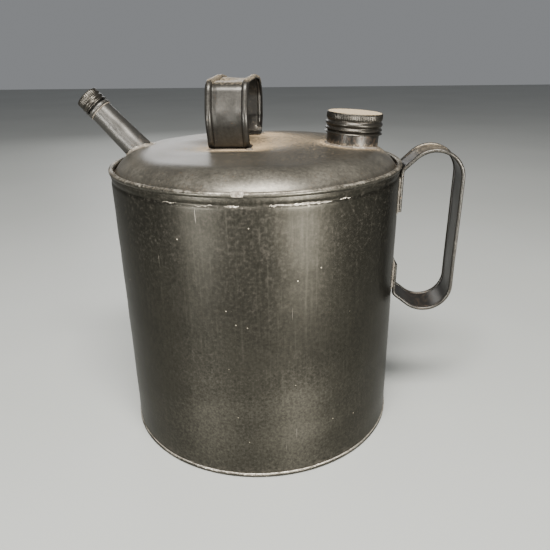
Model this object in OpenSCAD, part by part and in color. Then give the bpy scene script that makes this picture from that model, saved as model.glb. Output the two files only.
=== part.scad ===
// Gallon can for petrol: a soldered sheet-metal drum with a domed top, a slanted
// spout, a screw-capped filler neck, a strap handle on the side and one on the top.
// Millimetres. The can stands on z = 0 and its axis is the Z axis. The side handle
// points to +X, the spout to -X.

/* [Body] */
// Outside radius of the body wall
body_r = 85; // [80:0.5:90]
// Height of the rim wire's centre above the floor
rim_z = 164.1; // [150:0.1:180]
// Thickness of the body, dome and base sheet
sheet = 0.5; // [0.4:0.05:0.6]
// Radius of the wire rolled into the rim
rim_wire_r = 1; // [0.8:0.05:1.2]
// Height of the crease in the wall that the dome rests on
crease_z = 159; // [145:0.1:175]
// Depth of that crease
crease_depth = 1; // [0.8:0.05:1.2]
// Direction of the wall's side seam, seen from above
seam_azimuth = -82; // [-100:1:-60]
// Width of the folded side seam
seam_w = 6; // [4:0.5:8]
// Height of the base plate's turned-up edge
base_lip_h = 2; // [1.5:0.1:4]

/* [Dome] */
// Height of the dome's crown above the floor
crown_z = 176.8; // [172:0.1:190]
// Radius of the nearly flat crown
crown_r = 750; // [600:10:900]
// Radius of the rounded shoulder
shoulder_r = 21.5; // [19:0.5:24]

/* [Side handle] */
// Distance of the grip from the can's axis
grip_x = 119.7; // [112:0.1:130]
// Radius of the two large bends
grip_bend_r = 16; // [12:0.5:17]
// Height at which the strap leaves the wall at the top
strap_top_z = 161; // [155:0.5:162]
// Climb of the strap where it leaves the wall at the top
strap_top_angle = 45; // [40:1:50]
// Height at which the strap comes back to the wall at the bottom
strap_low_z = 84.7; // [70:0.1:90]
// Climb of the strap where it comes back to the wall at the bottom
strap_low_angle = 38; // [32:1:42]
// Distance between the middles of the strap's wired edges
strap_w = 22.6; // [18:0.1:26]
// Thickness of the strap's sheet
strap_t = 0.5; // [0.4:0.05:0.6]
// Radius of the strap's wired edges
strap_edge_r = 1.1; // [1:0.05:1.2]
// Height of the upper soldered tab's lower end
upper_tab_z = 137; // [125:0.5:145]
// Height of the lower soldered tab's upper end
lower_tab_z = 104; // [96:0.5:112]

/* [Top handle] */
// Position of the top handle across the can
top_handle_x = -12.5; // [-16:0.5:-8]
// Width of the band
band_w = 24; // [22:0.5:28]
// Thickness of the band's sheet
band_t = 0.7; // [0.6:0.05:0.8]
// Width of the rib pressed along each edge of the band
band_rib_w = 3.9; // [3:0.1:4.2]
// Height of that rib above the band
band_rib_h = 1.6; // [1:0.1:1.8]

/* [Filler] */
// Distance of the filler neck from the can's axis, at the dome
filler_x = 56.6; // [52:0.1:60]
// Lean of the filler neck away from the can's axis
filler_tilt = 4; // [2:0.5:5]
// Inside radius of the filler neck
filler_bore_r = 14.2; // [13.5:0.1:14.5]
// Height of the neck's mouth above the dome, along its axis
filler_h = 15.6; // [14:0.1:18]
// Height of the filler cap
filler_cap_h = 11.5; // [11:0.1:12.5]

/* [Spout] */
// Distance from the can's axis to where the spout's axis meets the dome
spout_x = 72.8; // [70:0.1:74]
// Lean of the spout away from the can's axis
spout_tilt = 42.9; // [38:0.1:46]
// Outside radius of the spout tube at the dome
spout_root_r = 7.95; // [7.5:0.05:8.3]
// Outside radius of the spout tube at its tip
spout_tip_r = 6.85; // [6.7:0.05:7]
// Length of the spout tube above the dome, along its axis
spout_len = 31.4; // [28:0.1:45]
// Height of the spout cap
spout_cap_h = 8.2; // [7.8:0.1:9]

/* [Hidden] */
$fn = 96;

black_tin = "#4a4740";
dusty_tin = "#6b6051";
solder = "#a9a49a";
wire = "#7d7a74";
cork = "#8a6a48";

wall_in = body_r - sheet;
snug = 0.02;                       // gap between two parts that are soldered together
bend_step = 12;                    // largest turn between two stations of a bent strip
tank_h = rim_z + 30;               // taller than the can, for cutting

// Rim roll: the sheet goes once round the wire, half outside the wall's own line.
rim_roll_r = rim_wire_r + sheet;
rim_roll_x = body_r - sheet;
rim_gap = 0.6;                     // gap where the roll's two ends meet

// Dome: a shoulder torus inside a large crown sphere, tangent to it.
crown_c = crown_z - crown_r;
dome_edge_z = crease_z + 0.55;
shoulder_x = body_r - 21.55;
shoulder_z = crown_c + sqrt(pow(crown_r - shoulder_r, 2) - pow(shoulder_x, 2));
shoulder_start = atan2(shoulder_z - crown_c, shoulder_x);
function dome_z(r) = r < shoulder_x
    ? crown_c + sqrt(crown_r * crown_r - r * r)
    : shoulder_z + sqrt(pow(shoulder_r, 2) - pow(r - shoulder_x, 2));

// Side handle: corners of the strap's middle line in the XZ plane, and their radii.
strap_x = body_r + strap_t / 2 + 0.2;
strap_bend_r = 3.5;
strap_run = grip_x - strap_x;
strap_path = [
    [strap_x, upper_tab_z],
    [strap_x, strap_top_z],
    [grip_x, strap_top_z + strap_run * tan(strap_top_angle)],
    [grip_x, strap_low_z - strap_run * tan(strap_low_angle)],
    [strap_x, strap_low_z],
    [strap_x, lower_tab_z]
];
strap_radii = [0, strap_bend_r, grip_bend_r, grip_bend_r, strap_bend_r, 0];
strap_wire_r = strap_edge_r / 2;
roll_gap = 20;                     // angle left open where a rolled edge meets the sheet

// Top handle: corners of the band's middle line in the YZ plane. The ribs fade out
// above each foot, and the plain foot is bent under the loop and soldered down.
rib_start = 3;                     // height above the foot at which the ribs begin
rib_fade = 3;                      // height over which they rise
rib_least = 0.06;                  // part of their height that is left on the feet
foot_z = crown_z + band_t / 2 + rib_least * band_rib_h;
band_ease = 0.15;                  // how far the band's cut edges are eased
back_foot_drop = 0.2;              // how much lower the back foot lies on the dome
front_leg = [-19.5, foot_z];
front_bulge = [-23.8, crown_z + 15];
front_corner = [-18.5, crown_z + 32.6];
back_corner = [40.6, crown_z + 32.3];
back_knee = [39.8, crown_z + 9.7];
back_leg = [33, foot_z - back_foot_drop];
function at_height(a, b, h) = a + (b - a) * (foot_z + h - a.y) / (b.y - a.y);
band_path = [
    [-9, foot_z], front_leg,
    at_height(front_leg, front_bulge, rib_start),
    at_height(front_leg, front_bulge, rib_start + rib_fade),
    front_bulge, front_corner, [14, crown_z + 34.6], back_corner, back_knee,
    at_height(back_knee, back_leg, rib_start + rib_fade),
    at_height(back_knee, back_leg, rib_start),
    back_leg, [23, foot_z - back_foot_drop]
];
band_radii = [0, 2.2, 0, 0, 20, 8, 60, 13, 5, 0, 0, 2.2, 0];

// Filler: heights along the neck's axis, from the dome.
filler_wall = 0.6;
filler_z = dome_z(filler_x);
filler_foot_r = filler_bore_r + filler_wall + 0.2;
filler_thread_from = 7;
filler_thread_pitch = 3.2;
filler_cap_r = filler_bore_r + 1.5;
filler_cap_in_r = filler_cap_r - 0.45;
filler_gasket_t = 1.6;
filler_cap_top = filler_h + 0.05 + filler_gasket_t + 0.05 + 0.5;
filler_cap_lip = filler_cap_top - filler_cap_h;

// Spout: heights along the tube's axis, from the dome.
spout_z = dome_z(spout_x);
spout_wall = 0.55;
spout_inside = 9;                  // length of the tube's cone below the dome
spout_ferrule_from = spout_len - 1.2;
spout_shoulder = spout_len + 0.8;
spout_thread_r = 6.1;
spout_thread_pitch = 2.5;
spout_bore_r = 5.3;
spout_mouth = spout_len + 8.45;
spout_gasket_t = 1;
spout_cap_r = 7.05;
spout_cap_in_r = 6.6;
spout_cap_top = spout_mouth + 0.05 + spout_gasket_t + 0.05 + 0.45;
spout_cap_lip = spout_cap_top - spout_cap_h;

// ---- helpers ---------------------------------------------------------------

// Direction in degrees from point a to point b.
function heading(a, b) = atan2(b.y - a.y, b.x - a.x);

// Turn at corner i of a path, positive to the left.
function turn(path, i) =
    let (d = heading(path[i], path[i + 1]) - heading(path[i - 1], path[i]))
    d > 180 ? d - 360 : d < -180 ? d + 360 : d;

// Length that the bend at corner i takes off the straight runs beside it.
function setback(path, radii, i) =
    i == 0 || i == len(path) - 1 ? 0 : radii[i] * tan(abs(turn(path, i)) / 2);

// Stations along a path of straight runs and round bends, as [x, y, direction].
function stations(path, radii) = let (last = len(path) - 1) [
    [path[0].x, path[0].y, heading(path[0], path[1])],
    for (i = [1 : last - 1]) let (
        dir = heading(path[i - 1], path[i]),
        bend = turn(path, i),
        swing = sign(bend) * radii[i],
        steps = radii[i] == 0 ? 0 : ceil(abs(bend) / bend_step),
        centre = path[i] - setback(path, radii, i) * [cos(dir), sin(dir)]
            + swing * [-sin(dir), cos(dir)]
    ) for (k = [0 : steps]) let (d = dir + bend * k / max(steps, 1))
        [centre.x + swing * sin(d), centre.y - swing * cos(d), d],
    [path[last].x, path[last].y, heading(path[last - 1], path[last])]
];

// Carries one section per station along a path. A section's X points to the left
// of the path and its Y along Z, and its points run anticlockwise.
module sweep(stops, sections) {
    m = len(sections[0]);
    n = len(stops);
    points = [for (i = [0 : n - 1]) for (p = sections[i])
        [stops[i].x - p.x * sin(stops[i].z), stops[i].y + p.x * cos(stops[i].z), p.y]];
    sides = [for (i = [0 : n - 2]) for (j = [0 : m - 1])
        let (a = i * m + j, b = i * m + (j + 1) % m) each [[a, b, b + m], [a, b + m, a + m]]];
    ends = [[for (j = [m - 1 : -1 : 0]) j], [for (j = [0 : m - 1]) (n - 1) * m + j]];
    polyhedron(points = points, faces = concat(sides, ends));
}

// The same section at every station.
module sweep_one(stops, section) { sweep(stops, [for (s = stops) section]); }

// A section whose lower half mirrors its upper half.
function both_halves(half) =
    concat(half, [for (i = [len(half) - 1 : -1 : 0]) [half[i].x, -half[i].y]]);

// Turns a path drawn in XY upright, so that its Y becomes Z.
module upright() { rotate([90, 0, 0]) children(); }

// Places a part that is drawn along Z on the filler's axis or on the spout's.
module on_filler() { translate([filler_x, 0, filler_z]) rotate([0, filler_tilt, 0]) children(); }
module on_spout() { translate([-spout_x, 0, spout_z]) rotate([0, -spout_tilt, 0]) children(); }

// Ring of rectangular section.
module ring(r_out, r_in, z0, z1) {
    rotate_extrude() translate([r_in, z0]) square([r_out - r_in, z1 - z0]);
}

// Rounded ridge round a part, from z0 to z1, as a section.
module ridge(r, bulge, z0, z1) {
    h = (z1 - z0) / 2;
    ball = (bulge * bulge + h * h) / (2 * bulge);
    translate([r + bulge - ball, z0 + h]) circle(ball);
}

// Half plane below the dome's outside or, with an inset, below a parallel surface.
module dome_region(inset, z0) {
    tangent_x = shoulder_x + (shoulder_r - inset) * cos(shoulder_start);
    intersection() {
        translate([0, z0]) square([body_r + 5, tank_h - z0]);
        union() {
            intersection() {
                translate([0, crown_c]) circle(crown_r - inset, $fn = 720);
                translate([0, z0]) square([tangent_x, tank_h - z0]);
            }
            translate([shoulder_x, shoulder_z]) circle(shoulder_r - inset);
        }
    }
}

// Points along the dome's outside, grown by some height, from crown to edge.
function dome_outline(grow) = [
    for (i = [0 : 12]) let (a = 90 - i * (90 - shoulder_start) / 12)
        [(crown_r + grow) * cos(a), crown_c + (crown_r + grow) * sin(a)],
    for (i = [1 : 20]) let (a = shoulder_start - i * 3.2)
        [shoulder_x + (shoulder_r + grow) * cos(a), shoulder_z + (shoulder_r + grow) * sin(a)]
];

// Solid below the dome's outside, which trims the solder that lies on it.
module dome_solid(grow) {
    rotate_extrude() polygon(concat(
        [[0, dome_edge_z - 12], [0, crown_z + grow]],
        dome_outline(grow),
        [[body_r, dome_edge_z - 12]]
    ));
}

// Section of the body wall with its crease and rim roll.
module wall_section() {
    in_x = wall_in - crease_depth;
    out_x = body_r - crease_depth + 0.1;
    polygon([
        [wall_in, sheet + 0.05], [body_r, sheet + 0.05],
        [body_r, crease_z - 1.4], [out_x, crease_z - 0.3],
        [out_x, crease_z + 0.3], [body_r, crease_z + 1],
        [body_r, rim_z], [wall_in, rim_z],
        [wall_in, crease_z + 1.1], [in_x, crease_z + 0.35],
        [in_x, crease_z - 0.35], [wall_in, crease_z - 1.5]
    ]);
    translate([rim_roll_x, rim_z]) circle(rim_roll_r);
}

// Wedge that keeps one stretch of a ring at the side seam.
module at_seam(width, offset = 0) {
    rotate(seam_azimuth) translate([0, offset - width / 2, 0]) cube([body_r + 10, width, tank_h]);
}

// Section of the side handle's strap: a sheet whose edges are rolled nearly shut
// round a wire. Each half goes up the sheet, out round the roll and back inside it.
function strap_section() = let (
    mid = strap_w / 2,
    hole_r = strap_wire_r + 0.08,
    leave = asin(strap_t / 2 / strap_edge_r) - 90,
    shut = -180 - leave - roll_gap + 360,
    back = -90 - asin(strap_t / 2 / hole_r)
) both_halves([
    for (k = [0 : 9]) let (a = leave + (shut - leave) * k / 9)
        [strap_edge_r * cos(a), mid + strap_edge_r * sin(a)],
    for (k = [0 : 6]) let (a = shut + (back - shut) * k / 6)
        [hole_r * cos(a), mid + hole_r * sin(a)]
]);

// Section of one of the wires in the strap's edges, on the side given by its sign.
function wire_section(side) = [for (k = [0 : 7])
    [strap_wire_r * cos(k * 45), side * strap_w / 2 + strap_wire_r * sin(k * 45)]];

// Section of the top handle's band, with ribs raised to a part of their height. Its
// cut edges are eased a little on both sides.
function band_section(rise) = let (
    half = band_rib_w / 2,
    mid = band_w / 2 - half,
    h = rise * band_rib_h
) both_halves([
    for (k = [6 : -1 : 1]) [band_t / 2 + h * sin(k * 30), mid + half * cos(k * 30)],
    [band_t / 2 - band_ease, mid + half],
    [-band_t / 2 + band_ease, mid + half],
    for (k = [0 : 6]) [-band_t / 2 + h * sin(k * 30), mid + (half - band_t) * cos(k * 30)]
]);

// Vertical notches round a cap, between two heights.
module knurl(r, count, notch_r, z0, z1) {
    for (i = [0 : count - 1]) rotate(i * 360 / count)
        translate([r + notch_r * 0.55, 0, z0]) cylinder(r = notch_r, h = z1 - z0, $fn = 16);
}

// ---- body --------------------------------------------------------------------

module body_shell() {
    color(black_tin) difference() {
        union() {
            rotate_extrude() wall_section();
            intersection() {
                ring(wall_in + 0.1, wall_in - 2 * sheet, sheet + 1, crease_z - 2);
                at_seam(seam_w);
            }
        }
        rotate_extrude() translate([rim_roll_x, rim_z]) circle(rim_wire_r + snug);
        translate([0, 0, rim_z - rim_roll_r]) intersection() {
            at_seam(rim_gap);
            ring(body_r + 5, wall_in - 3, 0, 5);
        }
    }
}

module body_seam_solder() {
    color(solder) intersection() {
        ring(wall_in - snug, wall_in - sheet, sheet + 1, crease_z - 2);
        union() for (side = [-1, 1]) at_seam(1.4, side * (seam_w / 2 + 0.7 + snug));
    }
}

module rim_wire() {
    color(wire) difference() {
        rotate_extrude() translate([rim_roll_x, rim_z]) circle(rim_wire_r);
        at_seam(rim_gap);
    }
}

// Blob that closes the joint of the rim roll.
module rim_joint_solder() {
    color(solder) intersection() {
        rotate_extrude() translate([rim_roll_x, rim_z]) difference() {
            circle(rim_roll_r + 0.35);
            circle(rim_roll_r + snug);
            translate([-5, -4]) square([10, 4 - rim_roll_r * 0.5]);
        }
        at_seam(3.2);
    }
}

module base_plate() {
    lip_in = body_r + 0.05;
    color(black_tin) {
        cylinder(r = lip_in + sheet, h = sheet);
        ring(lip_in + sheet, lip_in, sheet, base_lip_h);
    }
}

module base_solder() {
    color(solder) rotate_extrude() {
        polygon([
            [body_r + snug, base_lip_h + snug], [body_r + sheet, base_lip_h + snug],
            [body_r + snug, base_lip_h + 0.8]
        ]);
        polygon([
            [wall_in - snug, sheet + snug], [wall_in - snug, sheet + 1],
            [wall_in - 1.1, sheet + snug]
        ]);
    }
}

// ---- dome --------------------------------------------------------------------

module dome_top() {
    color(dusty_tin) difference() {
        rotate_extrude() difference() {
            dome_region(0, dome_edge_z);
            dome_region(sheet, dome_edge_z - 5);
        }
        on_filler() translate([0, 0, -12]) cylinder(r = filler_foot_r + snug, h = 24);
        on_spout() spout_cone(snug, -14, 10);
    }
}

// Ring of solder in the gutter between the dome and the wall.
module dome_solder() {
    color(solder) rotate_extrude() difference() {
        translate([shoulder_x, crease_z + 0.6]) polygon([
            [0, 0], [wall_in - snug - shoulder_x, 0],
            [wall_in - snug - shoulder_x, 2.4], [0, 1.8]
        ]);
        dome_region(-snug, dome_edge_z - 5);
        wall_section();
    }
}

// ---- handles -----------------------------------------------------------------

module side_handle() {
    color(black_tin) upright() sweep_one(stations(strap_path, strap_radii), strap_section());
}

module side_handle_wires() {
    color(wire) upright() for (side = [-1, 1])
        sweep_one(stations(strap_path, strap_radii), wire_section(side));
}

// Solder between the curved wall and each flat tab of the strap.
module side_handle_solder() {
    r = body_r + snug;
    half = strap_w / 2 - strap_edge_r - 0.5;
    reach = asin(half / r);
    flat_x = strap_x - strap_t / 2 - snug;
    color(solder)
        for (span = [[lower_tab_z - 15, lower_tab_z + 0.8], [upper_tab_z - 0.8, upper_tab_z + 19]])
            translate([0, 0, span[0]]) linear_extrude(span[1] - span[0]) polygon(concat(
                [for (i = [-6 : 6]) r * [cos(i * reach / 6), sin(i * reach / 6)]],
                [[flat_x, half], [flat_x, -half]]
            ));
}

module top_handle() {
    stops = stations(band_path, band_radii);
    rise = [for (s = stops) min(1, max(rib_least, (s.y - foot_z - rib_start) / rib_fade))];
    color(black_tin) translate([top_handle_x, 0, 0]) rotate(90) upright()
        sweep(stops, [for (r = rise) band_section(r)]);
}

// Solder under each foot, run out a little way over the dome.
module top_handle_solder() {
    pad_w = band_w + 2.4;
    color(solder) difference() {
        for (span = [[-19.4, -8], [22, 33.4]])
            translate([top_handle_x - pad_w / 2, span[0], crown_z - 3])
                cube([pad_w, span[1] - span[0], 3 - snug - (span[0] < 0 ? 0 : back_foot_drop)]);
        dome_solid(snug);
    }
}

// ---- filler ------------------------------------------------------------------

module filler_neck() {
    thread_r = filler_bore_r + filler_wall;
    color(black_tin) on_filler() rotate_extrude() difference() {
        union() {
            translate([0, -3.5]) square([filler_foot_r, filler_thread_from + 3.5]);
            translate([0, -3.5]) square([thread_r, filler_h + 3.5]);
            for (i = [0 : 1]) translate([0, filler_thread_from + 1.6 + i * filler_thread_pitch])
                ridge(thread_r, 0.25, 0, 1.4);
        }
        translate([-filler_bore_r, -5]) square([2 * filler_bore_r, filler_h + 10]);
    }
}

module filler_neck_solder() {
    color(solder) difference() {
        on_filler() translate([0, 0, -6]) cylinder(r = filler_foot_r + 1.7, h = 9);
        dome_solid(snug);
        on_filler() translate([0, 0, -12]) cylinder(r = filler_foot_r + snug, h = 24);
        on_filler() rotate_extrude() polygon([
            [filler_foot_r, 1.6], [filler_foot_r + 2.2, 0.2],
            [filler_foot_r + 2.2, 6], [filler_foot_r, 6]
        ]);
    }
}

module filler_cap() {
    lip = filler_cap_lip;
    top = filler_cap_top;
    color(black_tin) on_filler() difference() {
        rotate_extrude() difference() {
            union() {
                translate([0, lip]) square([filler_cap_r, filler_cap_h - 0.5]);
                translate([0, lip + 7.2]) square([filler_cap_r + 0.3, filler_cap_h - 7.7]);
                translate([0, lip]) square([filler_cap_r - 0.3, filler_cap_h]);
                ridge(filler_cap_r, 0.95, lip, lip + 1.2);
                ridge(filler_cap_r, 0.65, lip + 1.6, lip + 3.6);
                ridge(filler_cap_r, 0.6, lip + 4.3, lip + 6.3);
            }
            translate([-filler_cap_in_r, lip - 1]) square([2 * filler_cap_in_r, filler_cap_h + 0.5]);
            translate([-1, lip - 2]) square([filler_cap_r + 3, 2]);
        }
        knurl(filler_cap_r + 0.3, 60, 0.45, lip + 7.5, top + 1);
    }
}

module filler_cap_gasket() {
    color(cork) on_filler() translate([0, 0, filler_h + 0.05])
        cylinder(r = filler_cap_in_r - 0.3, h = filler_gasket_t);
}

// ---- spout -------------------------------------------------------------------

// The spout's taper as a solid, grown outwards and cut to a stretch of its axis.
module spout_cone(grow, z0, z1) {
    taper = (spout_tip_r - spout_root_r) / spout_len;
    translate([0, 0, z0]) cylinder(
        r1 = spout_root_r + taper * z0 + grow, r2 = spout_root_r + taper * z1 + grow, h = z1 - z0
    );
}

module spout_tube() {
    color(black_tin) difference() {
        on_spout() spout_cone(0, -spout_inside, spout_len);
        on_spout() spout_cone(-spout_wall, -spout_inside - 1, spout_len + 1);
        translate([-spout_x, 0, spout_z - 3]) rotate([0, -27, 0])
            translate([-30, -15, -20]) cube([60, 30, 20]);
    }
}

module spout_solder() {
    color(solder) difference() {
        intersection() {
            on_spout() spout_cone(1.1, -8, 4);
            dome_solid(1.1);
        }
        dome_solid(snug);
        on_spout() spout_cone(snug, -14, 10);
    }
}

// Threaded tip: a collar that sits over the tube's end, and a neck for the cap.
module spout_ferrule() {
    color(dusty_tin) on_spout() rotate_extrude() difference() {
        union() {
            translate([0, spout_ferrule_from]) square([7.4, spout_shoulder - spout_ferrule_from]);
            translate([0, spout_ferrule_from]) square([spout_thread_r, spout_mouth - spout_ferrule_from]);
            for (i = [0 : 1]) translate([0, spout_shoulder + 1.8 + i * spout_thread_pitch])
                ridge(spout_thread_r, 0.25, 0, 1.2);
        }
        translate([-1, spout_ferrule_from - 1])
            square([spout_tip_r + 0.06 + 1, 1 + spout_len - spout_ferrule_from + snug]);
        translate([-spout_bore_r, spout_ferrule_from]) square([2 * spout_bore_r, 20]);
    }
}

module spout_ferrule_solder() {
    z1 = spout_ferrule_from - snug;
    color(solder) on_spout() difference() {
        translate([0, 0, z1 - 1]) cylinder(r1 = spout_tip_r + 0.15, r2 = 7.4, h = 1);
        spout_cone(snug, 10, spout_len + 1);
    }
}

module spout_cap() {
    lip = spout_cap_lip;
    top = spout_cap_top;
    color(black_tin) on_spout() difference() {
        rotate_extrude() difference() {
            union() {
                translate([0, lip]) square([spout_cap_r, spout_cap_h - 0.4]);
                translate([0, lip]) square([spout_cap_r - 0.4, spout_cap_h]);
                translate([0, lip + 3.9]) square([spout_cap_r + 0.15, spout_cap_h - 4.5]);
                ridge(spout_cap_r, 0.65, lip, lip + 1);
                ridge(spout_cap_r, 0.4, lip + 2, lip + 3.2);
            }
            translate([-spout_cap_in_r, lip - 1]) square([2 * spout_cap_in_r, spout_cap_h + 0.55]);
            translate([-1, lip - 2]) square([spout_cap_r + 3, 2]);
        }
        knurl(spout_cap_r + 0.15, 40, 0.3, lip + 4.3, top + 1);
    }
}

module spout_cap_gasket() {
    color(cork) on_spout() translate([0, 0, spout_mouth + 0.05])
        cylinder(r = spout_cap_in_r - 0.2, h = spout_gasket_t);
}

// ---- nodes -------------------------------------------------------------------

body_shell();
body_seam_solder();
rim_wire();
rim_joint_solder();
base_plate();
base_solder();
dome_top();
dome_solder();
side_handle();
side_handle_wires();
side_handle_solder();
top_handle();
top_handle_solder();
filler_neck();
filler_neck_solder();
filler_cap();
filler_cap_gasket();
spout_tube();
spout_solder();
spout_ferrule();
spout_ferrule_solder();
spout_cap();
spout_cap_gasket();
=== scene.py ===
"""Gallon fuel can of old black tinplate: drum, domed top, capped spout, capped filler
neck, strap handle on the side and a short band handle on the top. Shapes are worked out
in millimetres and written to the meshes in metres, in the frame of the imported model."""
import math

import bpy
import numpy as np
from mathutils import Matrix, Vector


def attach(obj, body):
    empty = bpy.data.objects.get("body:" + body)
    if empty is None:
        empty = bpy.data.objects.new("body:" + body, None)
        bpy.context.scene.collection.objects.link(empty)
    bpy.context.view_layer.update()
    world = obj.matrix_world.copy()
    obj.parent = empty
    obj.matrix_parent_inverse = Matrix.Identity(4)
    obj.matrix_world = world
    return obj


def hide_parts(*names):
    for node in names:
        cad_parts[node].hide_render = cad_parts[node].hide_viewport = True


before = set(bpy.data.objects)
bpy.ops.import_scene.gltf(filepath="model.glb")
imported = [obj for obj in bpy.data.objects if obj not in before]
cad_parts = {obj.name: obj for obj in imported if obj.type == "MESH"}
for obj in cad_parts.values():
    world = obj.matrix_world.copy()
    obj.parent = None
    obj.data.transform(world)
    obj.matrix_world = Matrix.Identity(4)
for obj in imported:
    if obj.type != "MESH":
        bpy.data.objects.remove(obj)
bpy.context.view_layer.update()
MM = 0.001
TURN = 2 * math.pi
# rub: rubbed wear, and also painted highlights on the drum's wall and rim, the dome's shoulder and the top
# handle's front
STAINS = ("rub", "dust", "rust", "bare")
WAVE_SPREAD = 1.4

# ---- sizes, in millimetres ----------------------------------------------------------------
# drum: wall, sheet, rolled rim, and the crease pressed in below it
BODY_R, SHEET = 85.0, 0.5
RIM_Z, RIM_X, RIM_R = 164.1, 84.5, 1.5
RIM_LIMIT_R = 85.95
CREASE_Z, CREASE_DEPTH, CREASE_TALL = 159.0, 0.4, 1.1
SEAM_AZ = math.radians(-82)
# dome: a crown sphere that runs into a shoulder torus
CROWN_Z, CROWN_R = 176.8, 750.0
SHOULDER_R, SHOULDER_X = 21.5, 63.45
CROWN_C = CROWN_Z - CROWN_R
SHOULDER_Z = CROWN_C + math.sqrt((CROWN_R - SHOULDER_R) ** 2 - SHOULDER_X ** 2)
DOME_EDGE_Z = 159.55
# filler neck, leaned towards the side handle
FILLER_X, FILLER_TILT = 56.6, math.radians(4)
FILLER_BORE_R, FILLER_NECK_R, FILLER_FOOT_R, FILLER_H = 14.2, 14.8, 15.0, 15.6
FILLER_PITCH = 3.2
# spout, leaned the other way
SPOUT_X, SPOUT_TILT = -72.8, math.radians(-42.9)
SPOUT_ROOT_R, SPOUT_TIP_R, SPOUT_LEN = 7.95, 6.85, 31.4
SPOUT_TAPER = (SPOUT_TIP_R - SPOUT_ROOT_R) / SPOUT_LEN
SPOUT_MOUTH = SPOUT_LEN + 8.45
SPOUT_PITCH = 2.5
# side handle: a strap with its edges rolled round wires
STRAP_X, GRIP_X = 85.45, 119.7
STRAP_W, STRAP_T, STRAP_EDGE_R = 22.6, 0.5, 1.1
STRAP_RUN = GRIP_X - STRAP_X
STRAP_TOP, STRAP_LOW, STRAP_SLOPE = 161, 84.7, math.radians(38)
# top handle: a band with a rib along each edge, whose front foot has dented the dome
BAND_X, BAND_W, BAND_T = -12.5, 24.0, 0.7
BAND_RIB_W, BAND_RIB_H = 3.9, 1.6
BAND_LIMIT_Z = 212.8
FOOT_Z = CROWN_Z + BAND_T / 2 + 0.1
FOOT_DENT, FRONT_FOOT_Y = 2.3, -14


# ---- working with arrays ------------------------------------------------------------------
def round_angles(steps):
    """The angles of so many equal steps round a full turn, from 0."""
    return np.arange(steps) * TURN / steps


def waves(a, b, seed, count=9, fine=4.0):
    """Smooth unevenness: a scaled sum of cosine waves, held between -1 and 1. Each has a
    whole number of waves per turn of a, and a seeded slope along b and phase."""
    rng = np.random.default_rng(seed)
    total = np.zeros(np.broadcast(a, b).shape)
    for _ in range(count):
        k, slope = rng.integers(1, 1 + int(fine * 2)), rng.normal() * fine
        total = total + np.cos(k * a + slope * b + rng.random() * TURN)
    return np.clip(total / math.sqrt(count) / WAVE_SPREAD, -1, 1)


def bump(x, centre, width):
    """Bell curve of height 1 at centre, which falls off over width."""
    return np.exp(-((x - centre) / width) ** 2)


def rise(x, low, high):
    """Smooth step from 0 at low to 1 at high."""
    t = np.clip((x - low) / (high - low), 0, 1)
    return t * t * (3 - 2 * t)


def degrees_from(angle, centre):
    """How far one angle is past another, both in radians, as -180 to 180 degrees."""
    return np.degrees((angle - centre + math.pi) % TURN - math.pi)


def dome_z(r):
    """Height of the dome's outside: crown sphere inside, shoulder torus outside."""
    crown = CROWN_C + np.sqrt(CROWN_R ** 2 - np.minimum(r, SHOULDER_X) ** 2)
    shoulder = SHOULDER_Z + np.sqrt(np.maximum(SHOULDER_R ** 2 - (r - SHOULDER_X) ** 2, 0))
    return np.where(r < SHOULDER_X, crown, shoulder)


def foot_dent(x, y):
    """Depth of the hollow that the front foot of the top handle has pressed in the dome:
    flat under the foot, and rising again over the next 20 mm."""
    beside = np.maximum(np.abs(x - BAND_X) / 1.25 - 10.5, 0)
    before = np.maximum(np.abs(y - FRONT_FOOT_Y) - 6.5, 0)
    return FOOT_DENT * (1 - rise(np.sqrt(beside ** 2 + before ** 2), 0, 21))


def tilted(points, x0, tilt, z0):
    """Points drawn along Z, leaned by tilt about Y and moved to (x0, 0, z0)."""
    c, s = math.cos(tilt), math.sin(tilt)
    x, y, z = points[..., 0], points[..., 1], points[..., 2]
    return np.stack([x0 + c * x + s * z, y, z0 - s * x + c * z], -1)


def on_filler(points):
    """Points drawn about the filler neck's axis, from where it crosses the dome."""
    return tilted(points, FILLER_X, FILLER_TILT, float(dome_z(FILLER_X)))


def on_spout(points):
    """Points drawn about the spout's axis, from where it crosses the dome."""
    return tilted(points, SPOUT_X, SPOUT_TILT, float(dome_z(-SPOUT_X)))


def section_of(pairs):
    """Radii and heights of a list of (radius, height), each as one column."""
    return np.array(pairs, float).T[..., None]


def turned(radius, height, steps):
    """Section points (radius, height) turned round Z: point (i, k) lies at angle
    TURN * k / steps. Radius and height may also vary from step to step."""
    az = round_angles(steps)
    radius, height = (np.broadcast_to(np.reshape(v, (len(v), -1)), (len(v), steps))
                      for v in (radius, height))
    return np.stack([radius * np.cos(az), radius * np.sin(az), height], -1)


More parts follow.
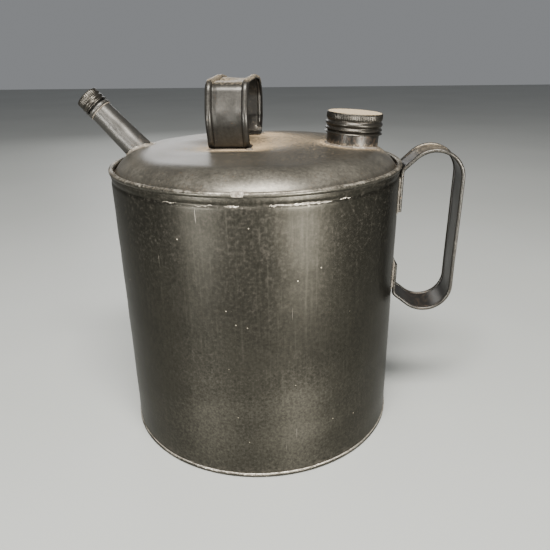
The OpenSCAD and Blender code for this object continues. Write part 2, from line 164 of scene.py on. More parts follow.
def bent_path(corners, radii, step):
    """Points (x, y, direction) along straight runs and round bends of the given radii,
    every step millimetres or closer."""
    corners = [np.array(c, float) for c in corners]
    stops = []
    begin = corners[0]
    for i in range(1, len(corners)):
        run = corners[i] - corners[i - 1]
        direction = math.atan2(run[1], run[0])
        along = run / np.linalg.norm(run)
        bend = 0.0
        if i < len(corners) - 1:
            out = corners[i + 1] - corners[i]
            bend = (math.atan2(out[1], out[0]) - direction + math.pi) % TURN - math.pi
        cut = radii[i] * math.tan(abs(bend) / 2)
        end = corners[i] - along * cut
        pieces = max(1, math.ceil(np.linalg.norm(end - begin) / step))
        t = np.arange(pieces)[:, None] / pieces
        stops.append(np.hstack([begin + (end - begin) * t, np.full((pieces, 1), direction)]))
        if bend and radii[i]:
            swing = math.copysign(radii[i], bend)
            centre = end + swing * np.array([-math.sin(direction), math.cos(direction)])
            pieces = max(4, math.ceil(abs(bend) * radii[i] / step))
            d = direction + bend * np.arange(pieces) / pieces
            stops.append(np.stack([centre[0] + swing * np.sin(d), centre[1] - swing * np.cos(d), d], -1))
            d = direction + bend
            begin = centre + swing * np.array([math.sin(d), -math.cos(d)])
        else:
            begin = end
    stops.append(np.array([[begin[0], begin[1], direction]]))
    return np.vstack(stops)


def carried(stops, left, across):
    """A section carried along a path: at each stop a point goes `left` of the path in
    the path's own plane, and `across` square to that plane."""
    x = stops[:, :1] - left * np.sin(stops[:, 2:])
    y = stops[:, 1:2] + left * np.cos(stops[:, 2:])
    return np.stack([x, y, np.broadcast_to(across, x.shape)], -1)


# ---- meshes -------------------------------------------------------------------------------
def grid_faces(rows, columns, wrap_rows, wrap_columns):
    """Quads between neighbouring rows and columns of a grid of points."""
    i = np.arange(rows if wrap_rows else rows - 1)[:, None]
    j = np.arange(columns if wrap_columns else columns - 1)[None, :]
    i2, j2 = (i + 1) % rows, (j + 1) % columns
    corners = [i * columns + j, i2 * columns + j, i2 * columns + j2, i * columns + j2]
    return np.stack([np.broadcast_to(c, (i.shape[0], j.shape[1])) for c in corners], -1).reshape(-1, 4)


def enclosed(points, faces):
    """Volume that quads enclose, below 0 if they face inwards: a sixth of a . (b x c),
    summed over their triangles a, b, c."""
    total = 0.0
    for k in (1, 2):
        a, b, c = (points[faces[:, n]] for n in (0, k, k + 1))
        total += float(np.einsum("ij,ij->i", a, np.cross(b, c)).sum()) / 6
    return total


class Shape:
    """Points in millimetres, quads and end fans of one piece, with its stains."""

    def __init__(self):
        self.points, self.quads, self.fans, self.stains = [], [], [], []
        self.count = 0

    def add(self, grid, wrap_rows=False, wrap_columns=False, capped=False, **stains):
        """A surface over rows and columns of points. Wrapped rows or columns are joined on
        from the last to the first. A capped surface also has a fan to the middle of its
        first row and one to the middle of its last. Each stain runs from 0 to 1."""
        rows, columns = grid.shape[:2]
        points = grid.reshape(-1, 3)
        values = np.zeros((len(points), len(STAINS)))
        for k, name in enumerate(STAINS):
            if name in stains:
                values[:, k] = np.broadcast_to(stains[name], (rows, columns)).reshape(-1)
        faces = grid_faces(rows, columns, wrap_rows, wrap_columns)
        fans = np.zeros((0, 3), int)
        if capped:
            middles = np.stack([grid[0].mean(0), grid[-1].mean(0)])
            here = np.arange(columns)
            beside = (here + 1) % columns
            hub = np.full(columns, len(points))
            last = (rows - 1) * columns
            fans = np.vstack([np.stack([hub, here, beside], -1),
                              np.stack([hub + 1, last + beside, last + here], -1)])
            points = np.vstack([points, middles])
            values = np.vstack([values, values[:1], values[-1:]])
        whole = np.vstack([faces, np.hstack([fans, fans[:, 2:]])])
        if enclosed(points - points.mean(0), whole) < 0:
            faces, fans = faces[:, ::-1], fans[:, ::-1]
        self.points.append(points)
        self.stains.append(values)
        self.quads.append(faces + self.count)
        self.fans.append(fans + self.count)
        self.count += len(points)
        return self

    def layered(self, top, bottom, **stains):
        """A pad between two grids of points whose edges nearly meet: the top's rows run
        out and the bottom's rows run back, and the two side edges are capped."""
        loop = np.concatenate([top, bottom[::-1]], 0)
        return self.add(np.swapaxes(loop, 0, 1), wrap_columns=True, capped=True, **stains)

    def build(self, name, body, slot, material, replaces, sharp=35):
        """The finished piece, riding its body, with its stains as attributes and its edges
        sharp where faces meet at more than `sharp` degrees."""
        mesh = bpy.data.meshes.new(name)
        points = np.vstack(self.points) * MM
        quads, fans = np.vstack(self.quads), np.vstack(self.fans)
        mesh.from_pydata(points.tolist(), [], quads.tolist() + fans.tolist())
        for k, stain in enumerate(STAINS):
            layer = mesh.attributes.new(stain, "FLOAT", "POINT")
            layer.data.foreach_set("value", np.vstack(self.stains)[:, k].astype(np.float32))
        mesh.validate()
        mesh.shade_smooth()
        mesh.set_sharp_from_angle(angle=math.radians(sharp))
        piece = bpy.data.objects.new(name, mesh)
        bpy.context.scene.collection.objects.link(piece)
        mesh.materials.append(material)
        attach(piece, body)
        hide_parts(*replaces)
        return piece


# ---- finishes -----------------------------------------------------------------------------
def node(tree, kind, inputs=None, **settings):
    """A node of that kind with its settings, and its inputs set or linked by name."""
    made = tree.nodes.new(kind)
    for key, value in settings.items():
        setattr(made, key, value)
    for key, value in (inputs or {}).items():
        if isinstance(value, bpy.types.NodeSocket):
            tree.links.new(value, made.inputs[key])
        else:
            made.inputs[key].default_value = value
    return made


def maths(tree, operation, a, b, clamp=False):
    """Result of one operation on two values."""
    return node(tree, "ShaderNodeMath", {0: a, 1: b}, operation=operation, use_clamp=clamp).outputs[0]


def times(tree, a, b):
    """a multiplied by b."""
    return maths(tree, "MULTIPLY", a, b)


def plus(tree, a, b, clamp=False):
    """a and b added, held between 0 and 1 if clamped."""
    return maths(tree, "ADD", a, b, clamp)


def minus(tree, a, b):
    """a less b."""
    return maths(tree, "SUBTRACT", a, b)


def ramp(tree, value, low, high):
    """Smooth step of a value from 0 at low to 1 at high."""
    return node(tree, "ShaderNodeMapRange", {0: value, 1: low, 2: high, 3: 0.0, 4: 1.0},
                interpolation_type="SMOOTHSTEP").outputs[0]


def blended(tree, share, a, b):
    """Colour a turning into colour b as share goes from 0 to 1."""
    made = tree.nodes.new("ShaderNodeMix")
    made.data_type = "RGBA"
    for socket, value in ((made.inputs[0], share), (made.inputs[6], a), (made.inputs[7], b)):
        if isinstance(value, bpy.types.NodeSocket):
            tree.links.new(value, socket)
        else:
            socket.default_value = value if isinstance(value, float) else (*value, 1.0)
    return made.outputs[2]


def noise(tree, place, scale, detail=4.0, roughness=0.6, distortion=0.0):
    """Cloudy noise around 0.5, with about `scale` clouds to the metre."""
    return node(tree, "ShaderNodeTexNoise", {"Vector": place, "Scale": scale, "Detail": detail,
                "Roughness": roughness, "Distortion": distortion}).outputs[0]


def stretched(tree, place, scale_z, turn=(0.0, 0.0, 0.0)):
    """Places squeezed along Z, then turned: a noise on them is drawn out along Z."""
    return node(tree, "ShaderNodeMapping", {"Vector": place, "Rotation": turn,
                "Scale": (1.0, 1.0, scale_z)}).outputs[0]


def own_place(tree):
    """Each point's place in its object, which is its place in the can's frame."""
    return tree.nodes.new("ShaderNodeTexCoord").outputs["Object"]


def new_group(name, inputs, outputs):
    """A node group with float inputs and outputs of those names, and its two end nodes."""
    tree = bpy.data.node_groups.new(name, "ShaderNodeTree")
    for direction, names in (("INPUT", inputs), ("OUTPUT", outputs)):
        for socket in names:
            tree.interface.new_socket(socket, in_out=direction, socket_type="NodeSocketFloat")
    return tree, tree.nodes.new("NodeGroupInput"), tree.nodes.new("NodeGroupOutput")


def patina_group():
    """Old tin's marks at their real size: cloudy mottling, fine upright rub streaks, small
    pale flecks, dark pits, hairline scratches, and a height for a bump."""
    tree, start, end = new_group("Tin patina", ["Mottle size"],
                                 ["Mottle", "Streaks", "Flecks", "Pits", "Scratches", "Height"])
    place = own_place(tree)
    cloud = noise(tree, place, start.outputs["Mottle size"], 6.0, 0.75, 0.2)
    broad = noise(tree, place, 22.0, 3.0, 0.55)
    mottle = plus(tree, times(tree, cloud, 0.7), times(tree, broad, 0.3))
    streaks = noise(tree, stretched(tree, place, 0.035), 620.0, 5.0, 0.7)
    spots = node(tree, "ShaderNodeTexVoronoi", {"Vector": place, "Scale": 190.0})
    few = ramp(tree, spots.outputs["Color"], 0.79, 0.8)
    flecks = times(tree, ramp(tree, spots.outputs["Distance"], 0.085, 0.05), few)
    pit_spots = node(tree, "ShaderNodeTexVoronoi", {"Vector": place, "Scale": 700.0})
    pitted = ramp(tree, noise(tree, place, 130.0, 3.0), 0.5, 0.66)
    pits = times(tree, ramp(tree, pit_spots.outputs["Distance"], 0.3, 0.1), pitted)
    hair = noise(tree, stretched(tree, place, 0.02, (0.5, 0.35, 0.9)), 900.0, 2.0, 0.5)
    scratched = ramp(tree, noise(tree, place, 28.0, 2.0), 0.5, 0.6)
    scratches = times(tree, ramp(tree, hair, 0.735, 0.775), scratched)
    grain = noise(tree, place, 1500.0, 3.0, 0.6)
    height = plus(tree, times(tree, grain, 0.3), times(tree, cloud, 0.25))
    height = minus(tree, height, times(tree, pits, 0.35))
    height = plus(tree, height, times(tree, flecks, 0.5))
    height = minus(tree, height, times(tree, scratches, 0.25))
    for name, value in (("Mottle", mottle), ("Streaks", streaks), ("Flecks", flecks), ("Pits", pits),
                        ("Scratches", scratches), ("Height", height)):
        tree.links.new(value, end.inputs[name])
    return tree


def stain_group():
    """Breaks a painted-on stain's soft edge into patches and specks. Stain is 0 to 1, and
    Patches says how strongly the noise eats into it."""
    tree, start, end = new_group("Broken stain", ["Stain", "Patch size", "Patches"], ["Mask"])
    patches = noise(tree, own_place(tree), start.outputs["Patch size"], 7.0, 0.75, 0.3)
    centred = times(tree, minus(tree, patches, 0.5), start.outputs["Patches"])
    eaten = plus(tree, start.outputs["Stain"], times(tree, centred, 3.0))
    present = ramp(tree, start.outputs["Stain"], 0.0, 0.15)
    tree.links.new(times(tree, ramp(tree, eaten, 0.15, 0.95), present), end.inputs["Mask"])
    return tree


PATINA, STAIN = patina_group(), stain_group()


def stained(tree, name, size, patches):
    """The piece's own stain of that name, broken into patches."""
    stain = node(tree, "ShaderNodeAttribute", attribute_name=name).outputs["Fac"]
    inputs = {"Stain": stain, "Patch size": size, "Patches": patches}
    return node(tree, "ShaderNodeGroup", inputs, node_tree=STAIN).outputs["Mask"]


def new_material(name):
    """A material with its node tree and its shader."""
    material = bpy.data.materials.new(name)
    material.use_nodes = True
    return material, material.node_tree, material.node_tree.nodes["Principled BSDF"]


def roughen(tree, shader, height, strength, distance):
    """Relief on a shader: a height, how strong it shows, and its depth in metres."""
    inputs = {"Height": height, "Strength": strength, "Distance": distance}
    tree.links.new(node(tree, "ShaderNodeBump", inputs).outputs[0], shader.inputs["Normal"])


PALE_FLECK = (0.62, 0.55, 0.42)


def tin(name, dark, light, rubbed, dust, rust, bare, metal, rough, mottle_size, streaky=0.15):
    """Old blackened tinplate: mottled dark to light, then streaked, rubbed, pitted and scratched, then bare,
    rusty and dusty where the piece's stains say, then flecked. The rubbed colour also paints highlights where
    a piece's rub stain is laid over its reflections."""
    material, tree, shader = new_material(name)
    marks = node(tree, "ShaderNodeGroup", {"Mottle size": mottle_size}, node_tree=PATINA).outputs
    rub = stained(tree, "rub", 650.0, 0.45)
    grime = stained(tree, "dust", 950.0, 0.7)
    rusty = stained(tree, "rust", 520.0, 0.95)
    shiny = stained(tree, "bare", 380.0, 0.7)
    streaks = times(tree, ramp(tree, marks["Streaks"], 0.5, 0.75), streaky)
    colour = blended(tree, ramp(tree, marks["Mottle"], 0.3, 0.7), dark, light)
    # the rubbed colour lays both rubbed wear and painted highlights, as each piece's rub stain says
    for share, over in ((streaks, rubbed), (rub, rubbed), (times(tree, marks["Pits"], 0.7), rust),
                        (times(tree, marks["Scratches"], 0.45), bare), (shiny, bare), (rusty, rust),
                        (grime, dust), (times(tree, marks["Flecks"], 0.8), PALE_FLECK)):
        colour = blended(tree, share, colour, over)
    matt = maths(tree, "MAXIMUM", grime, times(tree, rusty, 0.9))
    roughness = plus(tree, rough, times(tree, minus(tree, marks["Mottle"], 0.5), 0.2))
    roughness = plus(tree, roughness, times(tree, matt, 0.4), clamp=True)
    metallic = times(tree, minus(tree, 1.0, matt), metal)
    metallic = maths(tree, "MAXIMUM", metallic, times(tree, shiny, 0.85))
    tree.links.new(colour, shader.inputs["Base Color"])
    tree.links.new(roughness, shader.inputs["Roughness"])
    tree.links.new(metallic, shader.inputs["Metallic"])
    shader.inputs["Specular Tint"].default_value = (0.65, 0.65, 0.65, 1.0)
    roughen(tree, shader, plus(tree, marks["Height"], times(tree, matt, 0.25)), 0.18, 0.0004)
    return material


def lumpy_metal(name, bright, dull, stain, rough=0.4):
    """Solder or wire: bright metal clouded with dull patches and dark stains."""
    size, metal = 240.0, 0.85
    material, tree, shader = new_material(name)
    place = own_place(tree)
    cloud = ramp(tree, noise(tree, place, size, 6.0, 0.7), 0.35, 0.65)
    spots = ramp(tree, noise(tree, place, size * 1.7, 4.0, 0.75), 0.47, 0.6)
    grime = stained(tree, "dust", 260.0, 0.6)
    colour = blended(tree, cloud, bright, dull)
    colour = blended(tree, times(tree, spots, 0.75), colour, stain)
    colour = blended(tree, grime, colour, stain)
    matt = maths(tree, "MAXIMUM", times(tree, spots, 0.6), grime)
    roughness = plus(tree, rough, times(tree, matt, 0.4), clamp=True)
    tree.links.new(colour, shader.inputs["Base Color"])
    tree.links.new(roughness, shader.inputs["Roughness"])
    tree.links.new(times(tree, minus(tree, 1.0, matt), metal), shader.inputs["Metallic"])
    roughen(tree, shader, cloud, 0.3, 0.0003)
    return material


def pressed_cork():
    """Pressed cork: brown grains a millimetre or two across with dark joints."""
    material, tree, shader = new_material("Pressed cork")
    place = own_place(tree)
    at = {"Vector": place, "Scale": 650.0}
    grains = node(tree, "ShaderNodeTexVoronoi", at)
    joints = node(tree, "ShaderNodeTexVoronoi", at, feature="DISTANCE_TO_EDGE")
    joint = ramp(tree, joints.outputs["Distance"], 0.08, 0.0)
    shade = ramp(tree, noise(tree, place, 900.0, 3.0), 0.3, 0.7)
    colour = blended(tree, shade, (0.23, 0.13, 0.07), (0.42, 0.27, 0.15))
    tree.links.new(blended(tree, joint, colour, (0.07, 0.04, 0.025)), shader.inputs["Base Color"])
    shader.inputs["Roughness"].default_value = 0.85
    roughen(tree, shader, grains.outputs["Distance"], 0.4, 0.0003)
    return material


def plain_floor():
    """Pale grey floor, clouded a little."""
    material, tree, shader = new_material("Pale floor")
    cloud = ramp(tree, noise(tree, own_place(tree), 3.0, 3.0, 0.5), 0.2, 0.8)
    colour = blended(tree, cloud, (0.30, 0.308, 0.29), (0.335, 0.343, 0.325))
    tree.links.new(colour, shader.inputs["Base Color"])
    shader.inputs["Roughness"].default_value = 0.5
    return material


DRUM_TIN = tin("Rubbed black tin with painted highlights", dark=(0.024, 0.0225, 0.018), light=(0.044, 0.041, 0.0325),
               rubbed=(0.115, 0.107, 0.087), dust=(0.26, 0.21, 0.15), rust=(0.034, 0.027, 0.019),
               bare=(0.62, 0.57, 0.47), metal=0.95, rough=0.36, mottle_size=520.0)
BLACK_TIN = tin("Black tin", dark=(0.026, 0.025, 0.022), light=(0.045, 0.042, 0.037),
                rubbed=(0.1, 0.094, 0.08), dust=(0.3, 0.24, 0.16), rust=(0.08, 0.048, 0.028),
                bare=(0.5, 0.46, 0.39), metal=0.8, rough=0.34, mottle_size=620.0)
DUSTY_TIN = tin("Dusty tin", dark=(0.042, 0.039, 0.032), light=(0.085, 0.078, 0.063),
                rubbed=(0.16, 0.147, 0.12), dust=(0.40, 0.29, 0.165), rust=(0.11, 0.07, 0.038),
                bare=(0.5, 0.46, 0.38), metal=0.65, rough=0.36, mottle_size=420.0)
CAP_TIN = tin("Cap tin", dark=(0.028, 0.026, 0.022), light=(0.05, 0.045, 0.037),
              rubbed=(0.13, 0.12, 0.1), dust=(0.38, 0.30, 0.19), rust=(0.09, 0.058, 0.037),
              bare=(0.4, 0.37, 0.31), metal=0.85, rough=0.32, mottle_size=600.0, streaky=0.0)
SPOUT_TIN = tin("Spout tin", dark=(0.045, 0.043, 0.039), light=(0.07, 0.067, 0.06),
                rubbed=(0.14, 0.135, 0.12), dust=(0.25, 0.21, 0.155), rust=(0.08, 0.055, 0.035),
                bare=(0.45, 0.42, 0.37), metal=0.8, rough=0.38, mottle_size=620.0, streaky=0.0)
SOLDER = lumpy_metal("Old solder", (0.5, 0.46, 0.39), (0.27, 0.24, 0.19), (0.07, 0.055, 0.04))
WIRE = lumpy_metal("Iron wire", (0.3, 0.28, 0.25), (0.16, 0.13, 0.1), (0.08, 0.045, 0.025), rough=0.45)
CORK = pressed_cork()


# ---- drum ---------------------------------------------------------------------------------
def drum_dents(az, z):
    """Depth of the wall's dents in millimetres: shallow waves plus a few real dents, each
    a bell curve in angle times one in height."""
    depth = 0.10 * (1 + waves(az, z / 40, 3, 10, 3.0)) + 0.05 * (1 + waves(az, z / 14, 5, 10, 6.0))
    for at, height, wide, tall, deep in ((-118, 120, 9, 16, 0.5), (-64, 60, 12, 24, 0.45),
                                         (-95, 34, 8, 9, 0.4), (-42, 105, 7, 14, 0.5),
                                         (40, 70, 10, 22, 0.7), (130, 110, 12, 18, 0.6),
                                         (175, 45, 9, 12, 0.5), (88, 30, 14, 10, 0.6)):
        depth = depth + deep * bump(degrees_from(az, math.radians(at)), 0, wide) * bump(z, height, tall)
    return depth * rise(z, 1, 12) * (1 - rise(z, 148, 157))


def drum_stains(az, height):
    """Rubbed below and along the crease, with painted highlights: two light upright bands either side of the
    seam, low on the wall, and a light line along the rim bead. Rusty towards the top, bare and dusty on the
    rim."""
    deg = degrees_from(az, SEAM_AZ)
    on_rim = rise(height, RIM_Z - 0.4, RIM_Z + 1.0)
    # painted highlights: the two bell-shaped patches either side of the seam are light bands laid where the
    # side lamps' reflections fall low on the wall; the rest of this stain is rubbed wear
    rub = 0.2 * (1 - rise(height, 10, 115)) + bump(deg, 12, 13) * bump(height, 38, 38) * 0.42
    rub = rub + 0.3 * bump(deg, -20, 12) * bump(height, 32, 42) + 0.05
    # painted highlight: the last term is a light line along the top of the rim bead
    rub = rub + 0.08 * waves(az, height / 30, 7, 12, 4.0) + 0.45 * rise(height, 160, 164)
    rub = rub + 0.15 * rise(height, 148, 158) * (0.6 + 0.4 * waves(az, 0.0, 8, 8, 8.0))
    rust = 0.3 * (1 - rise(height, 2, 10)) + 0.11 * rise(height, 70, 150)
    rust = rust + 0.08 * bump(deg, -3, 12) * rise(height, 40, 90) + 0.25 * on_rim
    bare = on_rim * (0.34 + 0.2 * waves(az, 0.0, 41, 12, 12.0)) + 0.12 * bump(height, CREASE_Z - 1.2, 0.5)
    dust = 0.25 * on_rim + 0.1 * bump(height, CREASE_Z + 2, 1.5)
    return {"rub": rub, "rust": rust, "bare": bare, "dust": dust}


def drum_wall():
    """The wall's sheet as one closed section turned round Z: up the outside, over the rim
    roll, and down the inside. A side's radius is the sheet's less its dents and less the
    crease, a bell-shaped groove whose depth wanders. The roll is a circle that wavers."""
    steps = 400
    az = round_angles(steps)
    z_out = np.concatenate([np.linspace(0.6, 154, 52), np.linspace(154.6, 162.6, 22)])
    z_in = np.concatenate([np.linspace(162.4, 155, 14), np.linspace(152, 0.6, 14)])
    roll = np.radians(np.linspace(-70, 262, 30))[:, None]
    wander = 1 + 0.12 * waves(az, 0.0, 21, 12, 9.0)
    dip = 0.25 * waves(az, 0.0, 22, 8, 3.0)

    def side(z, radius):
        z = np.broadcast_to(z[:, None], (len(z), steps))
        groove = CREASE_DEPTH * wander * bump(z, CREASE_Z + dip, CREASE_TALL)
        return radius - drum_dents(az, z) - groove, z

    r_out, h_out = side(z_out, BODY_R)
    r_in, h_in = side(z_in, BODY_R - SHEET)
    flat = 0.99 - 0.03 * (1 + waves(az, 0.0, 31, 12, 10.0))
    flat = flat - 0.10 * bump(degrees_from(az, math.radians(-131)), 0, 3)
    r_roll = RIM_X + RIM_R * flat * np.cos(roll)
    h_roll = RIM_Z - 0.12 * (1 + waves(az, 0.0, 33, 6, 2.0)) + RIM_R * flat * np.sin(roll)
    radius, height = np.vstack([r_out, r_roll, r_in]), np.vstack([h_out, h_roll, h_in])
    shape = Shape().add(turned(radius, height, steps), True, True, **drum_stains(az, height))
    return shape.build("drum_wall", "can", "black_tin", DRUM_TIN, ["body_shell"], sharp=50)


def seep(shape, at, wide, seed, tall):
    """Smear of solder along the crease: a long oval pad on the wall whose outline and
    thickness waver, thin at both ends."""
    middle, thick = CREASE_Z - 0.4, 0.32
    u = np.linspace(-1, 1, 61)[:, None]
    v = np.linspace(-1, 1, 11)[None, :]
    az = math.radians(at) + u * math.radians(wide)
    ragged = np.clip(0.75 + 0.4 * waves(3 * u, 0.0, seed, 10, 6.0), 0.2, 1.2)
    oval = np.sqrt(np.maximum(1.0 - u ** 2, 0)) * ragged
    height = middle + 0.5 * waves(2 * u, 0.0, seed + 1, 8, 2.0) + v * tall * oval
    uneven = 1 + 0.3 * waves(6 * u, v, seed + 2, 9, 4.0)
    over = thick * (1 - v ** 2) * np.clip(oval, 0, 1) * uneven - 0.06
    wall = BODY_R - CREASE_DEPTH * bump(height, CREASE_Z, CREASE_TALL) - drum_dents(az, height)

    def laid(extra):
        return np.stack([(wall + extra) * np.cos(az), (wall + extra) * np.sin(az), height], -1)

    return shape.layered(laid(over), laid(np.minimum(over - 0.02, -0.25)), dust=0.06)


def rim_joint():
    """Solder on the outside of the drum: a low lump over the rim's joint, whose thickness
    falls to nothing at its edge, and smears that seeped out of the crease."""
    u = np.linspace(-1, 1, 41)[:, None]
    v = np.linspace(-1, 1, 25)[None, :]
    thick = np.maximum(1 - u ** 2, 0) ** 0.7 * np.maximum(1 - v ** 2, 0) ** 0.6
    lump = 0.34 * thick * (1 + 0.25 * waves(2 * u, v, 4, 6, 1.5)) * (1 + 0.7 * bump(u, 0.72, 0.2))
    roll = math.radians(38) + v * math.radians(80)
    az = math.radians(-88.2) + u * math.radians(1.9) * (1 + 0.1 * np.cos(3 * v))

    def laid(extra):
        r = np.minimum(RIM_X + (RIM_R + extra) * np.cos(roll), RIM_LIMIT_R)
        return np.stack([r * np.cos(az), r * np.sin(az), RIM_Z + (RIM_R + extra) * np.sin(roll)], -1)

    shape = Shape().layered(laid(lump), laid(-0.3 + 0 * lump), dust=0.55)
    for at, wide, seed, tall in ((-99.5, 3.2, 211, 0.3), (-90.2, 2.4, 214, 0.6), (-67.5, 10.5, 217, 0.75),
                                 (-77.2, 1.3, 220, 0.7), (-52, 2.2, 223, 0.4), (-112, 3, 226, 0.3),
                                 (35, 5, 229, 0.5), (95, 7, 232, 0.6), (172, 6, 235, 0.5)):
        seep(shape, at, wide, seed, tall)
    return shape.build("rim_joint_blob", "can", "solder", SOLDER, ["rim_joint_solder"])


def base():
    """Base plate turned round Z: a disc that dips slightly in the middle, with a lip
    turned up round the wall, its edge wavering."""
    steps = 400
    az = round_angles(steps)
    underside = [(20, 0.5), (45, 0.3), (65, 0.12), (78, 0.03), (82.5, 0), (84.6, 0.02), (85.35, 0.16)]
    lip = [(85.55, 0.45), (85.55, 1.4), (85.5, 1.85), (85.3, 2.0), (85.08, 1.9), (85.05, 1.6), (85.05, 0.9)]
    upper_face = [(84.6, 0.52), (82, 0.5), (65, 0.62), (45, 0.8), (20, 1.0)]
    radii, heights = section_of(underside + lip + upper_face)
    lift = rise(heights, 1.2, 1.9)
    radius = radii - 0.03 * (1 + waves(az, 0.0, 62, 8, 8.0)) * (radii > 85)
    height = heights + lift * (0.14 * waves(az, 0.0, 61, 12, 10.0) - 0.14)
    stain = 0.35 + 0.3 * waves(az, 0.0, 63, 12, 10.0)
    shape = Shape().add(turned(radius, height, steps), capped=True, rust=stain * 0.9,
                        bare=np.clip(stain * lift, 0, 1), rub=0.3)
    return shape.build("base_dish", "can", "black_tin", DRUM_TIN, ["base_plate"], sharp=50)


def lumpy_ring(centre_r, centre_z, wide, tall, seed, steps=420, uneven=0.35):
    """Bead of solder turned round Z: an ellipse whose size wanders round the ring."""
    az = round_angles(steps)
    t = round_angles(12)[:, None]
    size = np.clip(1 - uneven * (0.5 + 0.5 * waves(az, 0.0, seed, 14, 24.0)), 0.15, 1.0)
    return turned(centre_r + wide * size * np.cos(t), centre_z + tall * size * np.sin(t), steps)


def base_bead():
    """Solder round the base: one lumpy ring in the corner outside, one inside."""
    shape = Shape().add(lumpy_ring(BODY_R + 0.02, 2.0, 0.42, 0.55, 71, uneven=0.6), True, True, dust=0.25)
    shape.add(lumpy_ring(BODY_R - 1.0, 1.0, 0.45, 0.45, 72), True, True, dust=0.3)
    return shape.build("base_solder_bead", "can", "solder", SOLDER, ["base_solder"])


# ---- dome ---------------------------------------------------------------------------------
def dome_profile(t):
    """Radius and height at a share t of the way from crown to edge, by length along the
    section."""
    crown = np.linspace(math.pi / 2, math.atan2(SHOULDER_Z - CROWN_C, SHOULDER_X), 200)
    edge = math.asin((DOME_EDGE_Z - SHOULDER_Z) / SHOULDER_R)
    shoulder = np.linspace(crown[-1], edge, 200)[1:]
    r = np.concatenate([CROWN_R * np.cos(crown), SHOULDER_X + SHOULDER_R * np.cos(shoulder)])
    z = np.concatenate([CROWN_C + CROWN_R * np.sin(crown), SHOULDER_Z + SHOULDER_R * np.sin(shoulder)])
    length = np.concatenate([[0], np.cumsum(np.hypot(np.diff(r), np.diff(z)))])
    return np.interp(t * length[-1], length, r), np.interp(t * length[-1], length, z)


def folded_disc(n):
    """A square grid of n by n points folded onto a disc: each point's share of the radius,
    negative on two sides, and its angle."""
    a, b = np.meshgrid(np.linspace(-1, 1, n), np.linspace(-1, 1, n), indexing="ij")
    wide = np.abs(a) >= np.abs(b)
    rho = np.where(wide, a, b)
    with np.errstate(divide="ignore", invalid="ignore"):
        phi = np.where(wide, math.pi / 4 * np.nan_to_num(b / a),
                       math.pi / 2 - math.pi / 4 * np.nan_to_num(a / b))
    return rho, np.where(rho < 0, phi + math.pi, phi)


def dome_dents(x, y, r, az):
    """Depth of the dome's unevenness: shallow waves, ripples on the shoulder, and four
    round dents. It fades out under the top handle and towards the edge."""
    depth = 0.12 * (1 + waves(x / 30, y / 30, 81, 10, 2.5))
    depth = depth + 0.05 * (1 + waves(6 * az, r / 30, 82, 9, 1.5)) * bump(r, 72, 9)
    for at_x, at_y, deep, spread in ((-38, -44, 0.9, 300), (26, -52, 0.8, 180),
                                     (-20, 62, 0.7, 260), (14, -12, 0.35, 350)):
        depth = depth + deep * np.exp(-((x - at_x) ** 2 + (y - at_y) ** 2) / spread)
    return depth * (rise(np.hypot(x + 12, y - 8), 26, 40) * rise(84 - r, 1, 6))


def hole_share(points, x0, tilt, radius):
    """Distance from a hole's leaned axis over its radius, and the foot of that distance."""
    axis = np.array([math.sin(tilt), 0, math.cos(tilt)])
    origin = np.array([x0, 0, float(dome_z(abs(x0)))])
    foot = origin + ((points - origin) @ axis)[..., None] * axis
    return np.linalg.norm(points - foot, axis=-1) / radius, foot


def dome_stains(x, y):
    """Dust and rust round the handle's feet, the filler, the spout and the edge, and a painted highlight on
    the shoulder: a light, streaky ring where the overhead lamp's reflection falls."""
    r, az = np.hypot(x, y), np.arctan2(y, x)
    foot_front = np.exp(-((x + 12) ** 2 / 420 + (y + 14) ** 2 / 190))
    foot_back = np.exp(-((x + 10) ** 2 / 520 + (y - 30) ** 2 / 330))
    by_filler = np.exp(-((np.hypot(x - FILLER_X, y) - 15) / 5) ** 2)
    by_spout = np.exp(-((np.hypot(x + 74, y) - 10) / 6) ** 2)
    dust = 0.14 + 0.8 * foot_front + 0.85 * foot_back + 0.45 * by_filler + 0.2 * by_spout
    dust = dust + 0.3 * rise(r, 81.5, 83.5) - 0.12 * bump(r, 74, 8)
    dust = dust + 0.32 * np.exp(-((x - 20) ** 2 / 800 + (y - 4) ** 2 / 800))
    rust = 0.06 + 0.2 * foot_front + 0.25 * foot_back + 0.12 * by_filler + 0.2 * rise(r, 80, 83.5)
    # painted highlight: a light, streaky ring round the shoulder, over a little even wear
    rub = 0.12 + 0.42 * bump(r, 76, 7) * (0.6 + 0.4 * waves(4 * az, r / 40, 85, 9, 4.0))
    return np.stack([rub, dust, rust, np.full(r.shape, 0.05)], -1)


